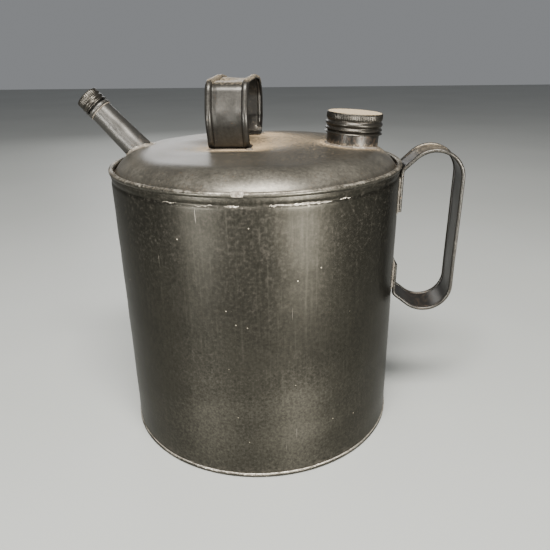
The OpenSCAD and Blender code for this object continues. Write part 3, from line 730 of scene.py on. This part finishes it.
def dome():
    """A folded disc raised to the dome's section by its distance from the middle, less the
    dents and the front foot's hollow. Cells inside the two holes are left out, and the
    points on their edges are drawn out onto the holes' circles."""
    n = 181
    rho, az = folded_disc(n)
    r, z = dome_profile(np.abs(rho))
    x, y = r * np.cos(az), r * np.sin(az)
    points = np.stack([x, y, z - dome_dents(x, y, r, az) - foot_dent(x, y)], -1).reshape(-1, 3)
    faces = grid_faces(n, n, False, False)
    for x0, tilt, hole_r in ((FILLER_X, FILLER_TILT, FILLER_FOOT_R + 0.03),
                             (SPOUT_X, SPOUT_TILT, SPOUT_ROOT_R + 0.05)):
        share, foot = hole_share(points, x0, tilt, hole_r)
        inside = (share < 1) & (np.sign(points[:, 0]) == math.copysign(1, x0))
        faces = faces[~inside[faces].all(1)]
        drawn_out = foot + (points - foot) / np.maximum(share, 1e-6)[:, None]
        points = np.where(inside[:, None], drawn_out, points)
        points[:, 2] = np.where(inside, dome_z(np.hypot(points[:, 0], points[:, 1])), points[:, 2])
    used, renumbered = np.unique(faces, return_inverse=True)
    points, faces = points[used], renumbered.reshape(faces.shape)
    shape = Shape()
    shape.points, shape.quads, shape.fans = [points], [faces], [np.zeros((0, 3), int)]
    shape.stains = [dome_stains(points[:, 0], points[:, 1])]
    piece = shape.build("domed_top", "can", "dusty_tin", DUSTY_TIN, ["dome_top"], sharp=60)
    shell = piece.modifiers.new("Sheet", "SOLIDIFY")
    shell.thickness, shell.offset = SHEET * MM, -1.0
    return piece


def gutter_solder():
    """Solder in the gutter: a closed section between wall and dome turned round Z, with
    a top that rises and falls."""
    steps, outer_r = 360, 84.4
    az = round_angles(steps)
    low = np.full(steps, 159.9)
    top = 161.6 + 0.35 * waves(az, 0.0, 91, 12, 12.0)
    top_in = top - 0.35 + 0.2 * waves(az, 0.0, 92, 12, 16.0)

    def dome_r(z):
        return SHOULDER_X + np.sqrt(SHOULDER_R ** 2 - (z - SHOULDER_Z) ** 2) - 0.1

    outer = np.full(steps, outer_r)
    radius = np.stack([outer, outer, 0.5 * (outer + dome_r(top_in)), dome_r(top_in), dome_r(low)])
    height = np.stack([low, top, 0.5 * (top + top_in) - 0.25, top_in, low])
    shape = Shape().add(turned(radius, height, steps), True, True, dust=0.75)
    return shape.build("gutter_solder", "can", "solder", SOLDER, ["dome_solder"])


# ---- side handle --------------------------------------------------------------------------
STRAP_CORNERS = [(STRAP_X, 137), (STRAP_X, STRAP_TOP), (GRIP_X, STRAP_TOP + STRAP_RUN),
                 (GRIP_X, STRAP_LOW - STRAP_RUN * math.tan(STRAP_SLOPE)),
                 (STRAP_X, STRAP_LOW), (STRAP_X, 104)]
STRAP_BENDS = [0, 3.5, 16, 16, 3.5, 0]


def strap():
    """Strap whose edges are rolled round wires: a closed section of two rolls joined by a
    thin sheet, carried along the loop. The sheet between the rolls is dented inwards a
    little, and the whole strap wavers."""
    stops = bent_path(STRAP_CORNERS, STRAP_BENDS, 1.4)
    mid, half = STRAP_W / 2, STRAP_T / 2
    leave = math.asin(half / STRAP_EDGE_R)
    roll = np.linspace(-math.pi / 2 + leave, 3 * math.pi / 2 - leave, 22)
    flat = np.linspace(0.86, -0.86, 15) * mid
    # over one edge's roll, along the inner face, over the other edge's roll, and back
    left = np.concatenate([STRAP_EDGE_R * np.cos(roll), np.full(len(flat), -half),
                           STRAP_EDGE_R * np.cos(roll[::-1]), np.full(len(flat), half)])
    across = np.concatenate([mid + STRAP_EDGE_R * np.sin(roll), flat,
                             -mid - STRAP_EDGE_R * np.sin(roll[::-1]), flat[::-1]])
    s = np.arange(len(stops))[:, None] / len(stops)
    z = stops[:, 1:2]
    free = rise(stops[:, :1], STRAP_X + 1, STRAP_X + 6)
    sag = 0.14 * (1 + waves(TURN * s, across / 12, 101, 8, 2.0)) * (np.abs(across) < mid - 1.2)
    sag = sag + 0.35 * bump(s, 0.42, 0.03) * bump(across, 3, 6)
    sag = sag + 0.3 * bump(s, 0.6, 0.04) * bump(across, -4, 7)
    waver = 0.16 * (1 + waves(TURN * s, 0.0, 103, 6, 2.0)) * free
    grid = carried(stops, left - (sag + waver) * free, across[None, :])
    grid = np.stack([grid[..., 0], grid[..., 2], grid[..., 1]], -1)
    outside = (left > 0.2) * 1.0
    edge = (np.abs(across) > mid - 0.6) * 1.0
    top, bottom = rise(z, 160, 175), 1 - rise(z, 60, 80)
    dust = 0.02 + 0.34 * top * outside * (1 - edge) + 0.1 * top
    dust = dust + 0.4 * bottom * (1 - outside) * (1 - edge)
    rust = 0.04 + 0.5 * (1 - rise(z, 62, 84)) * (1 - outside) + 0.06 * outside
    bare = edge * (0.05 + 0.05 * waves(TURN * s, across, 105, 9, 9.0))
    shape = Shape().add(grid, wrap_columns=True, capped=True, dust=dust, rust=rust, bare=bare,
                        rub=0.08 * outside + 0.3 * edge)
    return shape.build("side_handle_strap", "can", "black_tin", BLACK_TIN, ["side_handle"], sharp=60)


def strap_solder():
    """Solder behind each tab: a pad that fills the gap between the curved wall and the
    strap, and runs out over the wall past the strap's edges with an uneven outline."""
    shape = Shape()
    u = np.linspace(-1, 1, 45)[:, None]
    v = np.linspace(0, 1, 41)[None, :]
    for low, high, seed, dust in ((88.0, 105.5, 111, 0.55), (135.3, 157.2, 112, 0.25)):
        y = u * (14.2 + 0.8 * waves(TURN * v, 0.0, seed, 8, 4.0))
        z = low + (high - low) * v + 0.5 * waves(TURN * u / 2, 0.0, seed + 3, 6, 3.0)
        wall = np.sqrt(BODY_R ** 2 - y ** 2)
        gap = STRAP_X - STRAP_T / 2 - wall
        over = rise(1 - np.abs(u), 0.0, 0.24) * rise(v, 0, 0.08) * rise(1 - v, 0, 0.08)
        bulge = np.minimum(gap + 0.25 * rise(np.abs(y), 10, 11.5), 1.5) * over - 0.12 * (1 - over)
        bulge = bulge * (1 + 0.1 * waves(2 * u, 3 * v, seed + 5, 8, 2.0))
        shape.layered(np.stack([wall + bulge, y, z], -1), np.stack([wall - 0.3, y, z], -1), dust=dust)
    return shape.build("side_handle_solder_pads", "can", "solder", SOLDER, ["side_handle_solder"])


# ---- top handle ---------------------------------------------------------------------------
BAND_CORNERS = [(-8, FOOT_Z - FOOT_DENT), (-18.6, FOOT_Z - FOOT_DENT), (-23.8, CROWN_Z + 15),
                (-18.5, CROWN_Z + 32.6), (14, CROWN_Z + 34.6), (40.6, CROWN_Z + 32.3),
                (39.8, CROWN_Z + 9.7), (33, FOOT_Z - 0.2), (23, FOOT_Z - 0.2)]
BAND_BENDS = [0, 2.0, 20, 7, 60, 13, 5, 2.2, 0]


def band():
    """Band with a rib pressed along each edge, carried along the loop. Each rib is half an
    ellipse that fades out above the feet, and the band's top is dished and pitted."""
    stops = bent_path(BAND_CORNERS, BAND_BENDS, 0.8)
    half, thick = BAND_RIB_W / 2, BAND_T / 2
    mid = BAND_W / 2 - half
    inner = half - BAND_T * 0.9
    arc = np.linspace(math.pi, 0, 15)
    plain = np.linspace(-mid + half, mid - half, 17)[1:-1]
    # the outer face from the lower edge to the upper one, then back along the inner face
    across = np.concatenate([-mid + half * np.cos(arc), plain, mid + half * np.cos(arc)])
    back = np.concatenate([mid + inner * np.cos(arc[::-1]), plain[::-1], -mid + inner * np.cos(arc[::-1])])
    ribbed = np.concatenate([np.sin(arc), 0 * plain, np.sin(arc)])
    y, z = stops[:, :1], stops[:, 1:2]
    front = y < 5
    up = np.where(front, rise(z, FOOT_Z - FOOT_DENT + 0.3, FOOT_Z + 1.5), rise(z, FOOT_Z + 2.2, FOOT_Z + 6.5))
    s = np.arange(len(stops))[:, None] / len(stops)
    on_top = rise(z, CROWN_Z + 29, CROWN_Z + 32) * rise(y, -20, -14)

    def dent(a):
        dish = 1.3 * bump(y, 8, 16) * bump(a, -2.5, 7) + 2.0 * bump(y, 2, 5) * bump(a, 5.5, 3.0)
        dish = on_top * (dish - 0.5 * bump(y, 8, 3) * bump(a, 4, 3))
        pressed = 0.35 * (1 - on_top) * bump(z, CROWN_Z + 15, 8) * bump(a, 1, 5) * front
        return dish + pressed + 0.015 * (1 + waves(TURN * s * 2, a / 6, 121, 9, 3.0)) * up

    groove = 0.45 * (bump(across, mid - half - 0.5, 0.55) + bump(across, -mid + half + 0.5, 0.55))
    worn = 1 - 0.02 * (1 + waves(TURN * s * 3, across / 8, 122, 8, 3.0))
    outer_left = thick + up * (BAND_RIB_H * ribbed * worn - groove)
    inner_left = -thick + up * (BAND_RIB_H * ribbed)
    grid = np.concatenate([carried(stops, outer_left - dent(across), across[None, :]),
                           carried(stops, inner_left - dent(back), back[None, :])], 1)
    grid = np.stack([BAND_X - grid[..., 2], grid[..., 0], np.minimum(grid[..., 1], BAND_LIMIT_Z)], -1)
    face = np.concatenate([np.ones(len(across)), np.zeros(len(back))])
    ribs = np.concatenate([ribbed, 0 * back])
    near_groove = np.concatenate([bump(np.abs(across), mid - half - 0.5, 0.8), 0 * back])
    low = 1 - rise(z, FOOT_Z + 1, FOOT_Z + 8)
    dust = 0.02 + 0.1 * low * (1 - face) + 0.5 * on_top * face + 0.08 * (1 - face)
    rust = 0.02 + 0.1 * near_groove + 0.05 * (1 - face) + 0.03 * low
    # painted highlight: a light band across the upper middle of the front face, where the front lamp's
    # reflection falls; the ribs' share is wear
    rub = 0.05 + 0.08 * ribs * face + 0.2 * face * bump(z, CROWN_Z + 23, 7) * front
    shape = Shape().add(grid, wrap_columns=True, capped=True, dust=dust, rust=rust, bare=0.02, rub=rub)
    return shape.build("top_handle_band", "can", "black_tin", BLACK_TIN, ["top_handle"], sharp=60)


def dome_pad(shape, x0, x1, y0, y1, high, seed, dust):
    """Lump of solder on the dome: a rounded oblong whose outline and height waver, domed
    up from the sheet and sunk a little into it at the edge."""
    ring = np.linspace(0, 1, 15)[:, None]
    t = round_angles(64)
    wobble = 1 + 0.07 * waves(t, 0.0, seed, 9, 4.0)
    corner = (np.abs(np.cos(t)) ** 3.2 + np.abs(np.sin(t)) ** 3.2) ** (-1 / 3.2)
    x = (x0 + x1) / 2 + ring * (x1 - x0) / 2 * corner * np.cos(t) * wobble
    y = (y0 + y1) / 2 + ring * (y1 - y0) / 2 * corner * np.sin(t) * wobble
    surface = dome_z(np.hypot(x, y)) - foot_dent(x, y)
    top = surface + high * (1 - ring ** 3) * (1 + 0.25 * waves(x / 3, y / 3, seed + 1, 8, 1.2)) - 0.12
    grid = np.concatenate([np.stack([x, y, top], -1)[1:], np.stack([x, y, surface - 0.3], -1)[:0:-1]], 0)
    return shape.add(grid, wrap_columns=True, capped=True, dust=dust)


def band_solder():
    """Solder under both feet, heaped at the corners: each pad's sides from the band's
    middle, its front and back, its height, seed and dust."""
    shape = Shape()
    for x0, x1, y0, y1, high, seed, dust in ((-13.2, 13.2, -20.6, -7.2, 0.4, 131, 0.95),
                                             (-13.2, -8.8, -21.2, -16.6, 0.7, 135, 0.95),
                                             (9.4, 13.6, -21.4, -16.9, 0.7, 137, 0.92),
                                             (-13.6, 13.8, 21.2, 35.2, 0.45, 133, 0.8),
                                             (8.2, 14.2, 30.2, 35.6, 0.9, 139, 0.75),
                                             (-14.0, -8.4, 30.6, 35.4, 0.8, 141, 0.75)):
        dome_pad(shape, BAND_X + x0, BAND_X + x1, y0, y1, high, seed, dust)
    return shape.build("top_handle_solder_lumps", "can", "solder", SOLDER, ["top_handle_solder"])


# ---- filler -------------------------------------------------------------------------------
def thread(height, az, pitch, starts_at, ends_at, high):
    """Rolled thread: a cosine ridge that climbs one pitch a turn and fades at both ends."""
    phase = (height - starts_at) / pitch - az / TURN
    ridge = (0.5 + 0.5 * np.cos(TURN * phase)) ** 2
    return high * ridge * rise(height, starts_at, starts_at + 1) * (1 - rise(height, ends_at - 1, ends_at))


def neck():
    """Filler neck turned round its axis: the outside with its rolled thread, a rounded
    mouth, and the plain bore."""
    steps, low, round_r = 180, -3.5, 0.28
    az = round_angles(steps)
    h_out = np.linspace(low, FILLER_H - 0.3, 60)[:, None]
    body = np.where(h_out < 6.6, FILLER_FOOT_R, FILLER_NECK_R - 0.02)
    ridge = thread(h_out, az, FILLER_PITCH, 7.6, FILLER_H - 0.8, 0.22)
    r_out = body + ridge - 0.03 * (1 + waves(az, h_out / 5, 151, 8, 4.0))
    mouth = np.linspace(0, math.pi, 9)[:, None]
    r_mouth = (FILLER_BORE_R + FILLER_NECK_R) / 2 + round_r * np.cos(mouth) + 0 * az
    h_mouth = FILLER_H - round_r + round_r * np.sin(mouth) + 0 * az
    h_in = np.linspace(FILLER_H - 0.5, low, 20)[:, None] + 0 * az
    radius = np.vstack([r_out, r_mouth, np.full(h_in.shape, FILLER_BORE_R)])
    height = np.vstack([h_out + 0 * az, h_mouth, h_in])
    rust = 0.22 + 0.15 * (1 - rise(height, 0, 4)) + 0.3 * (radius < 14.4)
    dust = 0.06 + 0.25 * (1 - rise(height, 1, 3))
    shape = Shape().add(on_filler(turned(radius, height, steps)), True, True, rust=rust, dust=dust)
    return shape.build("filler_neck_threaded", "can", "black_tin", BLACK_TIN, ["filler_neck"], sharp=45)


def fillet(place, inner_r, spread, climb, seed, steps=160):
    """Solder run round the foot of a leaned tube: rings from high on the tube out to a
    wavering edge on the dome. Each ring's points are slid along the tube's axis until
    they stand a hollow-curved height above the dome."""
    az = round_angles(steps)
    t = np.linspace(0, 1, 10)[:, None]
    edge = spread * (1 + 0.28 * waves(az, 0.0, seed, 10, 6.0))
    climb = climb * (1 + 0.22 * waves(az, 0.0, seed + 1, 10, 6.0))
    radius = inner_r + t * edge
    above = climb * (1 - t) ** 1.7 + 0.16 * (1 - t) * waves(az, 4 * t, seed + 2, 9, 5.0) - 0.1 * t

    def settled(radius, above):
        x, y, s = radius * np.cos(az), radius * np.sin(az), np.zeros(radius.shape)
        for _ in range(12):
            p = place(np.stack([x, y, s], -1))
            s = s + 0.8 * (dome_z(np.hypot(p[..., 0], p[..., 1])) + above - p[..., 2])
        return place(np.stack([x, y, s], -1))

    return np.concatenate([settled(radius, above), settled(radius[::-1], -0.3)], 0)


def neck_solder():
    """Solder fillet round the foot of the filler neck."""
    shape = Shape().add(fillet(on_filler, FILLER_FOOT_R - 0.12, 1.1, 0.8, 161), True, True, dust=0.78)
    return shape.build("filler_foot_solder", "can", "solder", SOLDER, ["filler_neck_solder"])


def filler_cap():
    """Screw cap turned round its axis: flat top with a rounded and notched shoulder, two
    rolled beads and a curled lip, then the hollow inside. The notches are a cosine
    round the cap, 84 to the turn."""
    steps, notches, top = 672, 84, 17.8
    az = round_angles(steps)
    flat_top = [(3.0, top - 0.1), (8.0, top - 0.1), (11.5, top - 0.08), (13.3, top - 0.05),
                (14.1, top - 0.01), (14.7, top), (15.1, top)]
    shoulder = [(15.6, top - 0.12), (15.88, top - 0.45), (15.98, top - 0.9), (16.0, top - 1.5),
                (16.0, top - 2.2), (16.0, top - 2.9), (15.9, top - 3.5), (15.68, top - 3.9), (15.46, 13.4)]
    upper_bead = [(15.58, 12.95), (16.0, 12.6), (16.25, 12.25), (16.33, 11.75), (16.25, 11.2),
                  (15.9, 10.7), (15.54, 10.3), (15.46, 10.0)]
    lower_bead = [(15.62, 9.7), (16.1, 9.3), (16.32, 8.9), (16.3, 8.5), (16.0, 8.2),
                  (15.62, 7.95), (15.46, 7.7)]
    lip = [(15.6, 7.5), (16.1, 7.25), (16.5, 6.95), (16.64, 6.6), (16.5, 6.4), (16.1, 6.35),
           (15.6, 6.38), (15.3, 6.6)]
    hollow = [(15.27, 7.2), (15.27, 9), (15.27, 12), (15.27, 15), (15.2, top - 0.7),
              (14.6, top - 0.52), (8.0, top - 0.5), (3.0, top - 0.5)]
    radii, heights = section_of(flat_top + shoulder + upper_bead + lower_bead + lip + hollow)
    row = np.arange(len(radii))[:, None]
    outside, near_top = row < len(flat_top + shoulder), heights > top - 1
    knurl = rise(heights, 13.5, 14.3) * (1 - rise(heights, top - 0.5, top - 0.1)) * outside * (radii > 15.5)
    radius = radii - 0.09 * knurl * (1 + np.cos(notches * az))
    radius = radius - 0.006 * (1 + waves(az, heights / 4, 171, 8, 3.0))
    sag = 0.08 * (1 - rise(radii, 0, 14)) * (row < len(flat_top))
    waver = 0.04 * near_top * outside * (1 + waves(az, 0.0, 173, 5, 2.0)) * (radii < 14)
    crests = ((radii > 16.2) & (heights < 13.2)) * 1.0
    shape = Shape().add(on_filler(turned(radius, heights - sag - waver, steps)), capped=True,
                        dust=0.9 * (near_top & outside) * (radii < 15.5), rust=0.04 + 0.06 * (radii < 15.7),
                        bare=0.03 * crests, rub=0.25 * crests + 0.12 * knurl)
    return shape.build("filler_screw_cap", "filler_cap", "cap_tin", CAP_TIN, ["filler_cap"], sharp=45)


def cork_disc(place, radius, low, thick, seed):
    """Disc turned round its axis with rounded, slightly ragged edges: its section is given
    as shares of the radius and of the thickness."""
    steps = 96
    shares = [(0.3, 0), (0.8, 0), (0.97, 0.02), (1.0, 0.2), (1.0, 0.8), (0.97, 0.98), (0.8, 1), (0.3, 1)]
    r, h = section_of(shares)
    ragged = 1 - 0.006 * (1 + waves(round_angles(steps), 0.0, seed, 9, 12.0))
    return Shape().add(place(turned(r * radius * ragged, low + thick * h, steps)), capped=True)


def gaskets():
    """The cork discs in the two screw caps."""
    cork_disc(on_filler, 14.95, FILLER_H + 0.05, 1.6, 181).build(
        "filler_cap_cork", "filler_gasket", "cork", CORK, ["filler_cap_gasket"])
    cork_disc(on_spout, 6.4, SPOUT_MOUTH + 0.05, 1.0, 183).build(
        "spout_cap_cork", "spout_gasket", "cork", CORK, ["spout_cap_gasket"])


# ---- spout --------------------------------------------------------------------------------
def spout_tube():
    """Tapered tube: its section is turned round the spout's axis, with a lapped seam that
    stands proud along its underside, and its lower end follows the dome just inside."""
    steps, inside_dome = 180, 2.2
    az = round_angles(steps)
    start = np.zeros(steps)
    for _ in range(30):
        r = SPOUT_ROOT_R + SPOUT_TAPER * start
        p = on_spout(np.stack([r * np.cos(az), r * np.sin(az), start], -1))
        start = start + 0.5 * (dome_z(np.hypot(p[..., 0], p[..., 1])) - inside_dome - p[..., 2])
    along = start + (SPOUT_LEN - start) * np.linspace(0, 1, 60)[:, None]
    lap = 0.16 * bump(degrees_from(az, math.pi * 0.93), 0, 5) * (1 - rise(along, 26, 30))
    dents = 0.015 * (1 + waves(az, along / 8, 191, 8, 3.0))
    dents = dents + 0.35 * bump(along, 13, 5) * bump(degrees_from(az, -1.2), 0, 35)
    dents = dents * rise(along, 2, 7) * (1 - rise(along, 24, 30))
    outer = SPOUT_ROOT_R - 0.02 + SPOUT_TAPER * along + lap - dents
    inner = (SPOUT_ROOT_R - 0.55 + SPOUT_TAPER * along)[::-1]
    radius, height = np.vstack([outer, inner]), np.vstack([along, along[::-1]])
    rust = 0.02 + 0.15 * (1 - rise(height, 2, 6)) + 0.05 * rise(height, 26, 30)
    dust = 0.024 + 0.1 * (1 - rise(height, 1, 5))
    shape = Shape().add(on_spout(turned(radius, height, steps)), True, True, rust=rust, bare=0.02,
                        dust=dust, rub=0.03)
    return shape.build("spout_taper", "can", "spout_tin", SPOUT_TIN, ["spout_tube"], sharp=50)


def spout_foot_solder():
    """Solder fillet round the foot of the spout."""
    shape = Shape().add(fillet(on_spout, SPOUT_ROOT_R - 0.25, 1.8, 1.6, 195), True, True, dust=0.6)
    return shape.build("spout_foot_solder", "can", "solder", SOLDER, ["spout_solder"])


def ferrule():
    """Threaded ferrule turned round the spout's axis: collar over the tube's end,
    shoulder, rolled thread, rounded mouth and bore."""
    steps, round_r = 150, 0.36
    az = round_angles(steps)
    low, shoulder = SPOUT_LEN - 1.2, SPOUT_LEN + 0.8
    r_collar, h_collar = section_of([(7.2, low), (7.35, low + 0.15), (7.4, low + 0.5), (7.4, low + 1.2),
                                     (7.38, shoulder - 0.35), (7.2, shoulder - 0.1), (6.9, shoulder)])
    h_thread = np.linspace(shoulder + 0.02, SPOUT_MOUTH - 0.25, 34)[:, None]
    ridge = thread(h_thread, az, SPOUT_PITCH, shoulder + 1.2, SPOUT_MOUTH - 0.6, 0.22)
    r_thread = 6.08 + 0.5 * bump(h_thread, shoulder, 0.35) + ridge
    mouth = np.linspace(0, math.pi, 7)[:, None]
    r_mouth, h_mouth = 5.69 + round_r * np.cos(mouth), SPOUT_MOUTH - round_r + round_r * np.sin(mouth)
    r_bore, h_bore = section_of([(5.3, SPOUT_MOUTH - 1), (5.3, SPOUT_MOUTH - 4), (5.3, SPOUT_LEN + 0.1),
                                 (6.9, SPOUT_LEN + 0.03), (6.92, SPOUT_LEN - 0.5), (6.93, low)])
    radius = np.vstack([r + 0 * az for r in (r_collar, r_thread, r_mouth, r_bore)])
    height = np.vstack([h_collar, h_thread, h_mouth, h_bore])
    shape = Shape().add(on_spout(turned(radius, height, steps)), True, True, rust=0.08, bare=0.05,
                        rub=0.15, dust=0.1)
    return shape.build("spout_ferrule_threaded", "can", "spout_tin", SPOUT_TIN, ["spout_ferrule"], sharp=45)


def ferrule_solder():
    """Lumpy ring of solder where the ferrule meets the tube."""
    ring = lumpy_ring(7.0, SPOUT_LEN - 1.75, 0.35, 0.5, 197, steps=150)
    return Shape().add(on_spout(ring), True, True, dust=0.75).build(
        "spout_ferrule_bead", "can", "solder", SOLDER, ["spout_ferrule_solder"])


def spout_cap():
    """Small screw cap turned round the spout's axis, made as the large one: flat top,
    notched shoulder (40 to the turn), one rolled bead, curled lip and hollow inside."""
    steps, notches, top = 400, 40, 41.4
    az = round_angles(steps)
    outer = [(1.5, top - 0.28), (5.2, top - 0.2), (5.9, top - 0.06), (6.3, top), (6.6, top - 0.08),
             (6.86, top - 0.28), (7.06, top - 0.55), (7.17, top - 1.4), (7.2, top - 2.4), (7.18, top - 3.4),
             (7.08, top - 3.9), (7.03, 37.2)]
    bead = [(7.12, 36.9), (7.3, 36.6), (7.42, 36.3), (7.45, 35.9), (7.36, 35.5), (7.18, 35.15),
            (7.05, 34.85), (7.02, 34.6)]
    lip = [(7.1, 34.35), (7.35, 34.1), (7.6, 33.8), (7.7, 33.5), (7.62, 33.28), (7.3, 33.2),
           (6.95, 33.22), (6.65, 33.4)]
    hollow = [(6.62, 33.9), (6.62, 36), (6.62, 39), (6.55, top - 0.62), (6.1, top - 0.46),
              (4.0, top - 0.45), (1.5, top - 0.45)]
    radii, heights = section_of(outer + bead + lip + hollow)
    outside = np.arange(len(radii))[:, None] < len(outer)
    knurl = rise(heights, 37.1, 37.8) * (1 - rise(heights, top - 0.4, top - 0.1)) * outside * (radii > 7)
    radius = radii - 0.07 * knurl * (1 + np.cos(notches * az))
    radius = radius - 0.004 * (1 + waves(az, heights / 6, 201, 8, 3.0))
    height = heights - 0.05 * outside * (radii < 6) * (1 + waves(az, 0.0, 203, 5, 2.0))
    shape = Shape().add(on_spout(turned(radius, height, steps)), capped=True,
                        dust=0.05 * ((heights > top - 0.6) & outside), rust=0.05, rub=0.05 * knurl)
    return shape.build("spout_screw_cap", "spout_cap", "cap_tin", CAP_TIN, ["spout_cap"], sharp=45)


# ---- room ---------------------------------------------------------------------------------
def camera():
    """Camera in the can's frame: place, heading from +X, pitch down and a slight roll."""
    place = Vector((0.04518, -0.32149, 0.22274))
    heading, pitch, roll = math.radians(96.2), math.radians(22.29), -0.01555
    data = bpy.data.cameras.new("Camera")
    data.lens, data.sensor_width = 35.02, 36.0
    data.clip_start, data.clip_end = 0.01, 50.0
    level = math.cos(pitch)
    ahead = Vector((math.cos(heading) * level, math.sin(heading) * level, -math.sin(pitch)))
    right = Vector((math.sin(heading), -math.cos(heading), 0.0))
    up = right.cross(ahead)
    rolled_right = math.cos(roll) * right + math.sin(roll) * up
    rolled_up = -math.sin(roll) * right + math.cos(roll) * up
    made = bpy.data.objects.new("Camera", data)
    matrix = Matrix((rolled_right, rolled_up, -ahead)).transposed().to_4x4()
    matrix.translation = place
    made.matrix_world = matrix
    bpy.context.scene.collection.objects.link(made)
    bpy.context.scene.camera = made


def soft_light(name, place, aim, wide, tall, watts, tint=(1.0, 1.0, 1.0)):
    """Oblong area light at a place, turned to face another."""
    data = bpy.data.lights.new(name, "AREA")
    data.shape, data.size, data.size_y = "RECTANGLE", wide, tall
    data.energy, data.color = watts, tint
    made = bpy.data.objects.new(name, data)
    made.location = place
    made.rotation_euler = (Vector(aim) - Vector(place)).to_track_quat("-Z", "Y").to_euler()
    bpy.context.scene.collection.objects.link(made)


def room():
    """Pale floor far larger than the can, an even pale sky, and five soft lights: low ones
    to the right and left of the camera, one behind it, a faint one at the back, and one
    overhead, in front."""
    reach, height = 4.0, -0.0003
    corners = [(-reach, -reach, height), (reach, -reach, height),
               (reach, reach, height), (-reach, reach, height)]
    floor_mesh = bpy.data.meshes.new("floor")
    floor_mesh.from_pydata(corners, [], [(0, 1, 2, 3)])
    floor_mesh.materials.append(plain_floor())
    floor = bpy.data.objects.new("floor", floor_mesh)
    bpy.context.scene.collection.objects.link(floor)
    world = bpy.data.worlds.new("Studio")
    world.use_nodes = True
    sky = world.node_tree.nodes["Background"].inputs
    sky["Color"].default_value = (0.93, 0.96, 1.0, 1.0)
    sky["Strength"].default_value = 0.25
    bpy.context.scene.world = world
    warm, warmer = (1.0, 0.98, 0.95), (1.0, 0.98, 0.94)
    soft_light("Right window", (0.60, -0.74, 0.09), (0, 0, 0.05), 0.36, 0.22, 17.5, warmer)
    soft_light("Left window", (-0.50, -0.76, 0.09), (0, 0, 0.05), 0.26, 0.24, 7.8)
    soft_light("Front window", (-0.12, -1.40, 0.62), (0, 0, 0.17), 0.4, 0.3, 11.0, warm)
    soft_light("Rear fill", (-0.45, 1.25, 0.55), (0, 0, 0.08), 0.5, 0.5, 3.5)
    soft_light("Overhead", (0.08, -0.52, 1.08), (0, -0.04, 0.17), 0.70, 0.24, 42.0, warm)


camera()
drum_wall()
rim_joint()
base()
base_bead()
dome()
gutter_solder()
strap()
strap_solder()
band()
band_solder()
neck()
neck_solder()
filler_cap()
gaskets()
spout_tube()
spout_foot_solder()
ferrule()
ferrule_solder()
spout_cap()
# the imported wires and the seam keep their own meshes, and only take their finish here
for node_name, finish in (("rim_wire", WIRE), ("side_handle_wires", WIRE), ("body_seam_solder", SOLDER)):
    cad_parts[node_name].data.materials.clear()
    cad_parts[node_name].data.materials.append(finish)
room()
